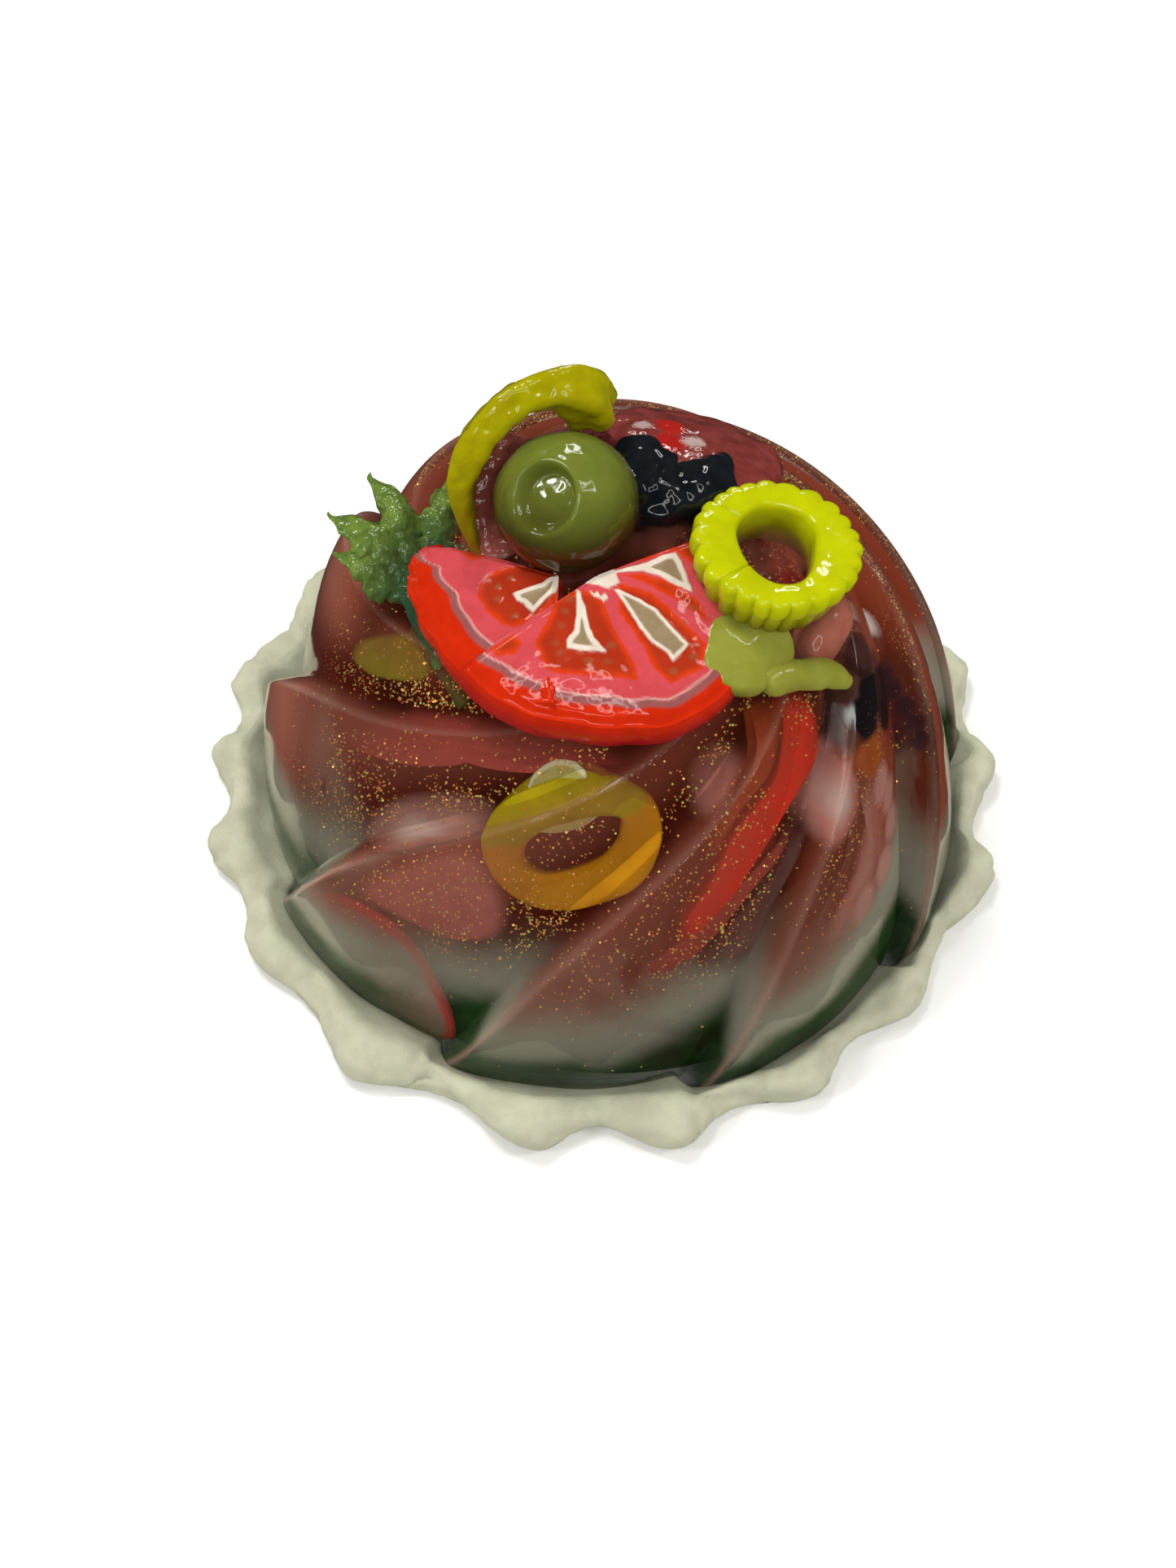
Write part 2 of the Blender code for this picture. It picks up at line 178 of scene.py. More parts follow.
def sweep(path, section, steps, sides, up=(0, 0, 1)):
    """Carry an oval along a path; section gives its half width and half height."""
    rings = []
    for i in range(steps + 1):
        t = i / steps
        along = (path(min(t + 0.01, 1.0)) - path(max(t - 0.01, 0.0))).normalized()
        side = along.cross(Vector(up)).normalized()
        rise = side.cross(along)
        ring = []
        for j in range(sides):
            a = TAU * j / sides
            wide, high = section(t, a)
            ring.append(path(t) + side * wide * math.cos(a) + rise * high * math.sin(a))
        rings.append(ring)
    return loft(rings)


# A noise vector takes its offsets from the clock until a seed is set. With one, every run gives
# the same shapes.
NOISE_SEED = 4
noise.seed_set(NOISE_SEED)


def ruffle(shape, amount, size, seed=0.0):
    """Push the points about by a smooth noise, so that a piece looks made by hand."""
    points, faces = shape
    moved = []
    for p in points:
        spot = Vector(p) / size + Vector((seed, 2 * seed, -seed))
        moved.append(tuple(Vector(p) + noise.noise_vector(spot) * amount))
    return moved, faces


# %% [markdown]
# ## Helpers for materials
#
# Every finish is made of shader nodes. Writing each node as three or four lines hides what the
# material does, so this helper adds one node, sets its options, and fills or links its sockets.

# %% Node helpers
def node(tree, kind, options=None, inputs=None):
    """Add a node; an input is a plain value or the output socket that feeds it."""
    made = tree.nodes.new("ShaderNode" + kind)
    for option, value in (options or {}).items():
        setattr(made, option, value)
    for key, value in (inputs or {}).items():
        if isinstance(value, bpy.types.NodeSocket):
            tree.links.new(value, made.inputs[key])
        else:
            made.inputs[key].default_value = value
    return made


def maths(tree, operation, first, second=0.0, clamp=False):
    made = node(tree, "Math", {"operation": operation, "use_clamp": clamp}, {0: first, 1: second})
    return made.outputs[0]


def blend_colours(tree, amount, first, second):
    made = node(tree, "Mix", {"data_type": "RGBA"}, {0: amount, 6: first, 7: second})
    return made.outputs[2]


def band(tree, value, low, high):
    """A soft mask that is 0 below low and 1 above high."""
    options = {"interpolation_type": "SMOOTHSTEP"}
    return node(tree, "MapRange", options, {0: value, 1: low, 2: high}).outputs[0]


def inverse(tree, mask):
    return maths(tree, "SUBTRACT", 1.0, mask)


def distance(tree, point, spot):
    return node(tree, "VectorMath", {"operation": "DISTANCE"}, {0: point, 1: spot}).outputs["Value"]


def stored(tree, name):
    """A value that the mesh stores at each of its points."""
    return node(tree, "Attribute", {"attribute_name": name}).outputs["Fac"]


def rgb(red, green, blue):
    return (red, green, blue, 1.0)


def new_group(name, inputs, outputs):
    """A node group with named sockets; returns its tree and its two end nodes."""
    tree = bpy.data.node_groups.new(name, "ShaderNodeTree")
    kinds = {"value": "NodeSocketFloat", "colour": "NodeSocketColor", "vector": "NodeSocketVector"}
    for label, (kind, default) in inputs.items():
        socket = tree.interface.new_socket(label, in_out="INPUT", socket_type=kinds[kind])
        socket.default_value = default
    for label, kind in outputs.items():
        tree.interface.new_socket(label, in_out="OUTPUT", socket_type=kinds[kind])
    return tree, tree.nodes.new("NodeGroupInput"), tree.nodes.new("NodeGroupOutput")


def use_group(tree, name, inputs=None):
    return node(tree, "Group", {"node_tree": bpy.data.node_groups[name]}, inputs)


def new_material(name, plain):
    """A material with one Principled shader, whose plain sockets are set by name."""
    material = bpy.data.materials.new(name)
    material.use_nodes = True
    shader = material.node_tree.nodes["Principled BSDF"]
    for label, value in plain.items():
        shader.inputs[label].default_value = value
    return material, material.node_tree, shader


def feed(tree, shader, **sockets):
    """Link sockets of a shader; underscores stand for the spaces in their names."""
    for label, socket in sockets.items():
        tree.links.new(socket, shader.inputs[label.replace("_", " ")])


print("node helpers ready")

# %% [markdown]
# ## Shared effects
#
# Three effects turn up on nearly every piece. Clay has a fine grain and uneven colour. Wet
# resin pools, so its surface is smooth but gently wavy and catches broken highlights. And all
# of the jelly changes colour with height. Each is a node group, built once.

# %% Group: position in millimetres
tree, start, end = new_group("millimetres", {}, {"Point": "vector", "Height": "value"})
here = node(tree, "TexCoord").outputs["Object"]
scaled = node(tree, "VectorMath", {"operation": "SCALE"}, {0: here, "Scale": 1000.0}).outputs[0]
tree.links.new(scaled, end.inputs["Point"])
tree.links.new(node(tree, "SeparateXYZ", inputs={0: scaled}).outputs["Z"], end.inputs["Height"])
print("group: millimetres")

# %% Group: clay grain
tree, start, end = new_group("clay grain", {
    "Colour": ("colour", rgb(0.6, 0.6, 0.45)), "Shade": ("colour", rgb(0.4, 0.4, 0.3)),
    "Patch Size": ("value", 4.0), "Grain Size": ("value", 0.35), "Patchiness": ("value", 0.5),
    "Dull": ("value", 0.6), "Shine": ("value", 0.4)},
    {"Colour": "colour", "Roughness": "value", "Height": "value"})
point = use_group(tree, "millimetres").outputs["Point"]
patch = node(tree, "TexNoise", inputs={
    "Vector": point, "Detail": 3.0,
    "Scale": maths(tree, "DIVIDE", 1.0, start.outputs["Patch Size"])}).outputs[0]
grain = node(tree, "TexNoise", inputs={
    "Vector": point, "Detail": 4.0, "Roughness": 0.6,
    "Scale": maths(tree, "DIVIDE", 1.0, start.outputs["Grain Size"])}).outputs[0]
mask = band(tree, maths(tree, "ADD", patch, maths(tree, "MULTIPLY", grain, 0.25)), 0.45, 0.8)
amount = maths(tree, "MULTIPLY", mask, start.outputs["Patchiness"], True)
colour = blend_colours(tree, amount, start.outputs["Colour"], start.outputs["Shade"])
rough = node(tree, "MapRange", inputs={0: grain, 1: 0.3, 2: 0.7, 3: start.outputs["Shine"],
                                       4: start.outputs["Dull"]}).outputs[0]
height = maths(tree, "ADD", grain, maths(tree, "MULTIPLY", patch, 0.6))
tree.links.new(colour, end.inputs["Colour"])
tree.links.new(rough, end.inputs["Roughness"])
tree.links.new(height, end.inputs["Height"])
print("group: clay grain")

# %% Group: pooled gloss
tree, start, end = new_group("pooled gloss", {
    "Wave Size": ("value", 3.0), "Wave Depth": ("value", 0.25)},
    {"Normal": "vector", "Pools": "value"})
point = use_group(tree, "millimetres").outputs["Point"]
waves = node(tree, "TexNoise", inputs={"Vector": point, "Detail": 1.5, "Scale": maths(
    tree, "DIVIDE", 1.0, start.outputs["Wave Size"])}).outputs[0]
lifted = maths(tree, "MULTIPLY", waves, start.outputs["Wave Depth"])
bump = node(tree, "Bump", inputs={"Strength": 1.0, "Distance": MM, "Height": lifted})
tree.links.new(bump.outputs[0], end.inputs["Normal"])
tree.links.new(band(tree, waves, 0.35, 0.65), end.inputs["Pools"])
print("group: pooled gloss")

# %% Group: jelly bands
GREEN_TOP, MILKY_TOP = 11.2, 20.5
tree, start, end = new_group("jelly bands", {
    "Green": ("colour", rgb(0.02, 0.05, 0.015)), "Milk": ("colour", rgb(0.4, 0.4, 0.33)),
    "Brown": ("colour", rgb(0.2, 0.05, 0.03)), "Softness": ("value", 1.0), "Full": ("value", 0.5),
    "Green Haze": ("value", 1.0), "Milk Haze": ("value", 1.0), "Brown Haze": ("value", 1.0)},
    {"Colour": "colour", "Haze": "value", "Cloud": "value"})
place = use_group(tree, "millimetres")
cloud = node(tree, "TexNoise", inputs={"Vector": place.outputs["Point"], "Scale": 0.075,
                                       "Detail": 2.5, "Distortion": 0.6}).outputs[0]
wander = maths(tree, "MULTIPLY", maths(tree, "SUBTRACT", cloud, 0.5), 7.0)
lean = maths(tree, "MULTIPLY", maths(tree, "SUBTRACT", start.outputs["Full"], 0.5), 5.0)
level = maths(tree, "ADD", maths(tree, "ADD", place.outputs["Height"], wander), lean)
reach = start.outputs["Softness"]
milky = band(tree, level, maths(tree, "SUBTRACT", GREEN_TOP, maths(tree, "MULTIPLY", reach, 2.6)),
             maths(tree, "ADD", GREEN_TOP, maths(tree, "MULTIPLY", reach, 2.2)))
brown = band(tree, level, maths(tree, "SUBTRACT", MILKY_TOP, maths(tree, "MULTIPLY", reach, 4.5)),
             maths(tree, "ADD", MILKY_TOP, maths(tree, "MULTIPLY", reach, 5.5)))
colour = blend_colours(tree, milky, start.outputs["Green"], start.outputs["Milk"])
colour = blend_colours(tree, brown, colour, start.outputs["Brown"])
haze = node(tree, "Mix", inputs={
    0: milky, 2: start.outputs["Green Haze"], 3: start.outputs["Milk Haze"]})
haze = node(tree, "Mix", inputs={0: brown, 2: haze.outputs[0], 3: start.outputs["Brown Haze"]})
tree.links.new(colour, end.inputs["Colour"])
tree.links.new(haze.outputs[0], end.inputs["Haze"])
tree.links.new(cloud, end.inputs["Cloud"])
print("group: jelly bands")

# %% [markdown]
# ## The shape of the dome
#
# The dome comes from a swirl mould with nine leaning flutes. Each flute is a petal: full behind
# its crest, falling slowly, then cut back by a narrow steep face at the next crest. The same
# few functions give the radius anywhere, so the outer skin, the cloudy layers under it and the
# core are all made from them, each a little smaller.

# %% Dome functions
DOME_RADIUS, DOME_HEIGHT, DOME_POWER = 50.5, 60.0, 2.05
FLUTES, FLUTE_START, FLUTE_DEPTH = 9, math.radians(202.5), 5.8
FOOT_DEPTH, FLUTE_FALL, VALLEY, EDGE_SPREAD = 0.5, 1.35, 0.95, 0.012
TWIST = (math.radians(70), math.radians(-129), math.radians(329))
TWIST_STOP, DOME_TOP = 0.86, 0.9
PITCH = TAU / FLUTES


def climb(z):
    """Share of the way up the swirl, from a height."""
    return math.asin(min((z / DOME_HEIGHT) ** (DOME_POWER / 2), 1.0)) * 2 / math.pi


def height_at(share):
    return DOME_HEIGHT * math.sin(share * math.pi / 2) ** (2 / DOME_POWER)


def crest_radius(share):
    return DOME_RADIUS * math.cos(share * math.pi / 2) ** (2 / DOME_POWER)


def twist(share):
    s = min(share, TWIST_STOP)
    one, two, three = TWIST
    turn = one * s + two * s ** 2 + three * s ** 3
    slope = one + 2 * two * s + 3 * three * s ** 2
    return turn + slope * (share - s)


def hollow(along):
    """Depth of a flute, 0 at its crest and 1 at its valley."""
    along %= 1.0
    if along < VALLEY:
        return (along / VALLEY) ** FLUTE_FALL
    return (1 - along) / (1 - VALLEY)


def soft_hollow(along):
    """The same with its crest and valley rounded a little, as a cast edge is."""
    return sum(hollow(along + EDGE_SPREAD * k) for k in (-1, -0.5, 0, 0.5, 1)) / 5


def flute_depth(share):
    """How deep the flutes are cut, less near the foot and near the top."""
    foot = FOOT_DEPTH + (1 - FOOT_DEPTH) * ease(0.0, 0.3, share)
    return FLUTE_DEPTH * foot * (crest_radius(share) / DOME_RADIUS) ** 0.8


def dome_radius(share, along, inset=0.0):
    cut = flute_depth(share) * soft_hollow(along) * (1 - 0.05 * inset)
    return crest_radius(share) - cut - inset


def dome_point(share, along, flute=0, inset=0.0):
    """A point of the dome's skin, or of a layer a few millimetres inside it."""
    angle = FLUTE_START + twist(share) + PITCH * (flute + along) + math.radians(0.5) * inset
    radius = max(dome_radius(share, along, inset), 0.2)
    z = height_at(share) * (1 - inset / DOME_HEIGHT)
    return Vector((radius * math.cos(angle), radius * math.sin(angle), z))


def skin_point(azimuth, z):
    """The point of the skin at a compass angle and a height."""
    share, turned = climb(z), math.radians(azimuth)
    radius = dome_radius(share, (turned - FLUTE_START - twist(share)) / PITCH)
    return radius * math.cos(turned), radius * math.sin(turned), z


def dome_shape(steps, rows, inset=0.0, floor=0.0):
    rings = []
    for row in range(rows + 1):
        share = DOME_TOP * row / rows
        ring = [dome_point(share, along, flute, inset)
                for flute in range(FLUTES) for along in steps]
        rings.append([(p.x, p.y, max(p.z, floor)) for p in ring])
    return loft(rings)


def mark_fullness(piece, steps, rows):
    """Store how full the jelly is at each point, 1 behind a crest and 0 in a valley, and a narrow
    mask along each crest that carries a painted highlight.
    """
    for label, value in (("fullness", lambda along: 1 - soft_hollow(along)),
                         ("crest", lambda along: 1 - ease(0.003, 0.012, min(along, 1 - along)))):
        values = [value(along) for along in steps] * FLUTES * (rows + 1) + [0.5, 0.0]
        piece.data.attributes.new(label, "FLOAT", "POINT").data.foreach_set("value", values)


FINE_STEPS = [0, 0.008, 0.02, 0.04, 0.07, 0.11, 0.16, 0.22, 0.29, 0.36, 0.43, 0.5, 0.57, 0.64,
              0.7, 0.76, 0.81, 0.86, 0.9, 0.926, 0.94, 0.95, 0.96, 0.972, 0.985, 0.993]
print("dome %.0f x %.0f mm, crest lines %d" % (2 * DOME_RADIUS, DOME_HEIGHT, FLUTES))

# %% [markdown]
# ## Resin jelly
#
# The real jelly is tinted resin, clear enough to show what lies a few millimetres down and
# cloudy enough to hide the rest. A glass shader with a scattering volume would do that, but it
# is slow and grainy. Instead the cloud is cut into thin layers: a glossy skin, three veils below
# it that each hide a little, and a solid core. What lies near the skin is crisp and what lies
# deeper fades, as in the real thing. A look along the skin passes through more resin than a look
# straight in, so Layer Weight makes the skin denser there. The first veil is dense at the back,
# where nothing was laid, and the skin takes the colour of the slices that touch it at the right.

# %% Resin materials
def fullness(tree):
    return stored(tree, "fullness")


def dyed(tree, thin, thick, warm):
    """Brown of the jelly: deep where thin or high, dusty where thick, warmer to the right."""
    point = use_group(tree, "millimetres").outputs["Point"]
    across = node(tree, "SeparateXYZ", inputs={0: point}).outputs["X"]
    full = band(tree, fullness(tree), 0.1, 0.95)
    dusty = blend_colours(tree, full, thin, thick)
    to_right = maths(tree, "MULTIPLY", band(tree, across, -8.0, 42.0), 0.75)
    tinted = blend_colours(tree, to_right, dusty, warm)
    high = band(tree, use_group(tree, "millimetres").outputs["Height"], 36.0, 52.0)
    return blend_colours(tree, maths(tree, "MULTIPLY", high, 0.85), tinted,
                         rgb(0.165, 0.033, 0.016))


def edge_on(tree, start, full):
    """How nearly the surface is seen edge on, where a look passes through more resin."""
    facing = node(tree, "LayerWeight", inputs={"Blend": 0.5}).outputs["Facing"]
    return band(tree, facing, start, full)


# Where a sunk slice touches the wall of the mould, the skin itself takes its colour. Each stain is
# a dye, places as compass angle and height, the radius of full and of last colour, and a strength.
STAINS = (
    (rgb(0.007, 0.005, 0.006), ((341, 48.8), (343, 46.2), (345, 42.0), (346, 38.4), (338, 43.4),
                                (333, 43.0), (341, 38.8)), 2.5, 4.0, 0.92),
    (rgb(0.030, 0.010, 0.012), ((350.5, 37.2), (348.8, 35.6), (347, 34.0), (345.3, 32.5),
                                (343.5, 31.0)), 0.8, 3.2, 0.80),
    (rgb(0.26, 0.055, 0.008), ((329.5, 38.6),), 1.2, 3.4, 0.55),
    (rgb(0.34, 0.020, 0.016), ((353, 54.0), (357, 54.6), (6, 55.2)), 1.4, 4.2, 0.72),
    (rgb(0.33, 0.15, 0.12), ((329, 34.0), (331, 30.0), (330, 25.6), (324, 22.0), (316, 21.8)),
     1.4, 3.8, 0.50))


def stained(tree, shown, cover):
    """The skin's colour and cover with the stains laid over them."""
    place = use_group(tree, "millimetres")
    for dye, spots, full, last, strength in STAINS:
        away = None
        for azimuth, z in spots:
            here = distance(tree, place.outputs["Point"], skin_point(azimuth, z))
            away = here if away is None else maths(tree, "MINIMUM", away, here)
        mask = inverse(tree, band(tree, away, full, last))
        shown = blend_colours(tree, mask, shown, dye)
        cover = maths(tree, "MAXIMUM", cover, maths(tree, "MULTIPLY", mask, strength))
    return shown, cover


def resin_skin():
    material, tree, shader = new_material("resin_skin",
                                          {"Roughness": 0.08, "Specular IOR Level": 0.5})
    brown = dyed(tree, rgb(0.085, 0.009, 0.003), rgb(0.28, 0.090, 0.058), rgb(0.19, 0.030, 0.011))
    bands = use_group(tree, "jelly bands", {
        "Green": rgb(0.014, 0.038, 0.008), "Milk": rgb(0.22, 0.205, 0.150), "Brown": brown,
        "Green Haze": 0.34, "Milk Haze": 0.36, "Brown Haze": 0.14, "Full": fullness(tree)})
    gloss = use_group(tree, "pooled gloss", {"Wave Size": 9.0, "Wave Depth": 0.10})
    # Painted highlight: a pale line along each crest, where the rounded edge would catch the light,
    # with the skin a little denser there.
    line = stored(tree, "crest")
    shown = blend_colours(tree, maths(tree, "MULTIPLY", line, 0.6), bands.outputs["Colour"],
                          rgb(0.40, 0.22, 0.17))
    full = band(tree, fullness(tree), 0.1, 1.0)
    more = maths(tree, "ADD", 0.35, maths(tree, "MULTIPLY", full, 1.25))
    veil = maths(tree, "MULTIPLY", bands.outputs["Haze"], more, True)
    veil = maths(tree, "MAXIMUM", veil, maths(tree, "MULTIPLY", line, 0.18))
    deep = maths(tree, "MULTIPLY", edge_on(tree, 0.43, 0.88), 0.99)
    cover = maths(tree, "ADD", maths(tree, "ADD", veil, 0.05), deep, True)
    shown, cover = stained(tree, shown, cover)
    feed(tree, shader, Base_Color=shown, Alpha=cover, Normal=gloss.outputs["Normal"])
    return material


def resin_veil(name, hidden, milk_hidden, dense_back):
    material, tree, shader = new_material(name, {"Roughness": 0.9, "Specular IOR Level": 0.0})
    brown = dyed(tree, rgb(0.080, 0.008, 0.003), rgb(0.25, 0.066, 0.040), rgb(0.20, 0.028, 0.009))
    bands = use_group(tree, "jelly bands", {
        "Green": rgb(0.012, 0.042, 0.008), "Milk": rgb(0.34, 0.31, 0.23), "Brown": brown,
        "Green Haze": 0.30, "Milk Haze": milk_hidden, "Brown Haze": hidden,
        "Softness": 1.1, "Full": fullness(tree)})
    more = maths(tree, "ADD", 0.35, maths(tree, "MULTIPLY", fullness(tree), 1.1))
    faced = inverse(tree, edge_on(tree, 0.3, 0.95))
    cloudy = maths(tree, "MULTIPLY", bands.outputs["Haze"], more, True)
    cover = maths(tree, "MULTIPLY", cloudy, faced)
    if dense_back:
        point = use_group(tree, "millimetres").outputs["Point"]
        behind = node(tree, "SeparateXYZ", inputs={0: point}).outputs["Y"]
        cover = maths(tree, "MAXIMUM", cover, band(tree, behind, -8.0, 6.0))
    feed(tree, shader, Base_Color=bands.outputs["Colour"], Alpha=cover)
    return material


def resin_core():
    material, tree, shader = new_material("resin_core",
                                          {"Roughness": 0.8, "Specular IOR Level": 0.1})
    bands = use_group(tree, "jelly bands", {
        "Green": rgb(0.014, 0.060, 0.010), "Milk": rgb(0.25, 0.23, 0.17),
        "Brown": rgb(0.070, 0.0065, 0.002), "Softness": 1.0})
    dark = blend_colours(tree, band(tree, bands.outputs["Cloud"], 0.5, 0.64),
                         bands.outputs["Colour"], rgb(0.024, 0.003, 0.002))
    feed(tree, shader, Base_Color=dark)
    return material


skin_finish, core_finish = resin_skin(), resin_core()
print("resin finishes:", skin_finish.name, core_finish.name)

# %% Skin, veils and core
SKIN_ROWS, VEIL_ROWS = 90, 44
VEILS = (1.1, 2.4, 4.0)
CORE_ROWS, CORE_SIDES, CORE_TOP = 40, 96, 0.97
skin = make_piece("jelly_skin", dome_shape(FINE_STEPS, SKIN_ROWS), skin_finish, "brown_jelly",
                  crease=38)
mark_fullness(skin, FINE_STEPS, SKIN_ROWS)
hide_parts("jelly_dome", "milky_layer", "green_layer")
VEIL_STEPS = [0, 0.03, 0.08, 0.16, 0.27, 0.4, 0.53, 0.66, 0.78, 0.87, 0.92, 0.95, 0.975]
for number, inset in enumerate(VEILS):
    veil_finish = resin_veil("resin_veil_%d" % number, 0.13, 0.38, number == 0)
    veil_shape = dome_shape(VEIL_STEPS, VEIL_ROWS, inset, floor=0.4)
    layer = make_piece("jelly_veil_%d" % number, veil_shape, veil_finish, "milky_jelly")
    mark_fullness(layer, VEIL_STEPS, VEIL_ROWS)
core_rings = []
for row in range(CORE_ROWS + 1):
    share = CORE_TOP * row / CORE_ROWS
    near_top = ease(0.6, 0.8, share)
    inset = (8.8 - 4.6 * near_top) * (0.55 + 0.45 * ease(0, 0.3, share))
    radius = max(crest_radius(share) - inset, 1)
    z = max(height_at(share) - (6.0 - 3.6 * near_top) * share, 0.3)
    turns = [TAU * i / CORE_SIDES for i in range(CORE_SIDES)]
    core_rings.append([(radius * math.cos(a), radius * math.sin(a), z) for a in turns])
make_piece("jelly_core", loft(core_rings), core_finish, "brown_jelly")

# %% [markdown]
# ## What lies in the jelly
#
# The maker lays slices against the wall of the mould before the resin is poured, so they follow
# the petals softly. Each is drawn as an outline of compass angles and heights, and a function
# carries it to a wall a little inside the skin. A flat slab would be simpler, but it would poke
# through the valleys of the swirl. A few lie so close that they follow the skin itself.

# %% The wall that slices lie against
SHEET_POINTS, LAID_RING_POINTS = 90, 120


def wall_point(azimuth, z, inset, close=False):
    """A point inside the jelly, on a wall at half the depth of the flutes or close to the skin."""
    share = climb(max(z, 0.0))
    along = (math.radians(azimuth) - FLUTE_START - twist(share)) / PITCH
    if close:
        soft = 2 * max(soft_hollow(along + 0.01 * k) for k in range(-3, 4)) - 1
    else:
        soft = sum(hollow(along + 0.02 * k) for k in range(-6, 7)) / 13
    radius = crest_radius(share) - flute_depth(share) * (0.5 + 0.5 * soft) - inset
    return (radius * math.cos(math.radians(azimuth)), radius * math.sin(math.radians(azimuth)), z)


def smooth_loop(outline, count):
    """Points evenly along a smooth closed curve through an outline."""
    size, made = len(outline), []
    for i in range(count):
        t = i * size / count
        k, u = int(t), t - int(t)
        a, b, c, d = (outline[(k + shift) % size] for shift in (-1, 0, 1, 2))
        made.append(tuple(0.5 * (2 * q + (r - p) * u + (2 * p - 5 * q + 4 * r - e) * u * u
                                 + (3 * q - p - 3 * r + e) * u ** 3)
                          for p, q, r, e in zip(a, b, c, d)))
    return made


def laid_sheet(outline, inset, thick, close=False):
    """A slice that follows its wall, and how far out each of its points lies."""
    loop = smooth_loop(outline, SHEET_POINTS)
    middle = [sum(p[axis] for p in loop) / SHEET_POINTS for axis in (0, 1)]
    levels = [(k / 12, 0.5) for k in range(1, 11)] + [
        (0.9, 0.47), (0.96, 0.32), (1.0, 0.0), (0.96, -0.32), (0.85, -0.5), (0.4, -0.5)]
    rings = [[wall_point(middle[0] + (a - middle[0]) * share, middle[1] + (z - middle[1]) * share,
                         inset + thick * (0.5 - level), close) for a, z in loop]
             for share, level in levels]
    return loft(rings), [share for share, level in levels for _ in loop] + [0.0, 0.4]


def laid_ring(outer, inner, inset, thick):
    """A ring that follows its wall, between an outer and an inner outline."""
    section = [(0.12, 0.47), (0.3, 0.5), (0.5, 0.52), (0.7, 0.5), (0.9, 0.46), (0.97, 0.3),
               (1.0, 0.0), (0.95, -0.4), (0.6, -0.5), (0.1, -0.5), (0.0, 0.0), (0.03, 0.3)]
    rings = []
    outer_loop, inner_loop = (smooth_loop(line, LAID_RING_POINTS) for line in (outer, inner))
    for (oa, oz), (ia, iz) in zip(outer_loop, inner_loop):
        rings.append([wall_point(ia + (oa - ia) * u, iz + (oz - iz) * u,
                                 inset + thick * (0.5 - level)) for u, level in section])
    return loft(rings, closed=True)


print("wall at 270 degrees, 30 mm up:", [round(v, 1) for v in wall_point(270, 30, 1.0)])

# %% Sunk slices
def sunk(name, colour, shade, patch=3.0, rim=None, soft=0.3, glow=None):
    """Clay seen through cloudy resin, soft at its edge, perhaps with a rim, and perhaps with
    painted light in its middle: mostly a pale painted highlight.
    """
    material, tree, shader = new_material(name, {"Specular IOR Level": 0.2})
    body = use_group(tree, "clay grain", {"Colour": colour, "Shade": shade, "Patch Size": patch,
                                          "Grain Size": 0.6, "Shine": 0.5, "Dull": 0.7})
    shown = body.outputs["Colour"]
    reach = stored(tree, "reach")
    if rim is not None:
        shown = blend_colours(tree, band(tree, reach, 0.86, 0.95), shown, rim)
    # Painted light: a pale middle stands for a highlight on the slice; on the bubble a darker
    # middle stands for shade.
    if glow is not None:
        shown = blend_colours(tree, band(tree, reach, 0.05, 0.6), glow, shown)
    if soft:
        feed(tree, shader, Alpha=inverse(tree, band(tree, reach, 1.0 - soft, 1.0)))
    feed(tree, shader, Base_Color=shown, Roughness=body.outputs["Roughness"])
    return material


def mark_reach(piece, values):
    """Store how far out each point lies, from 0 in the middle to 1 at the edge."""
    piece.data.attributes.new("reach", "FLOAT", "POINT").data.foreach_set("value", values)
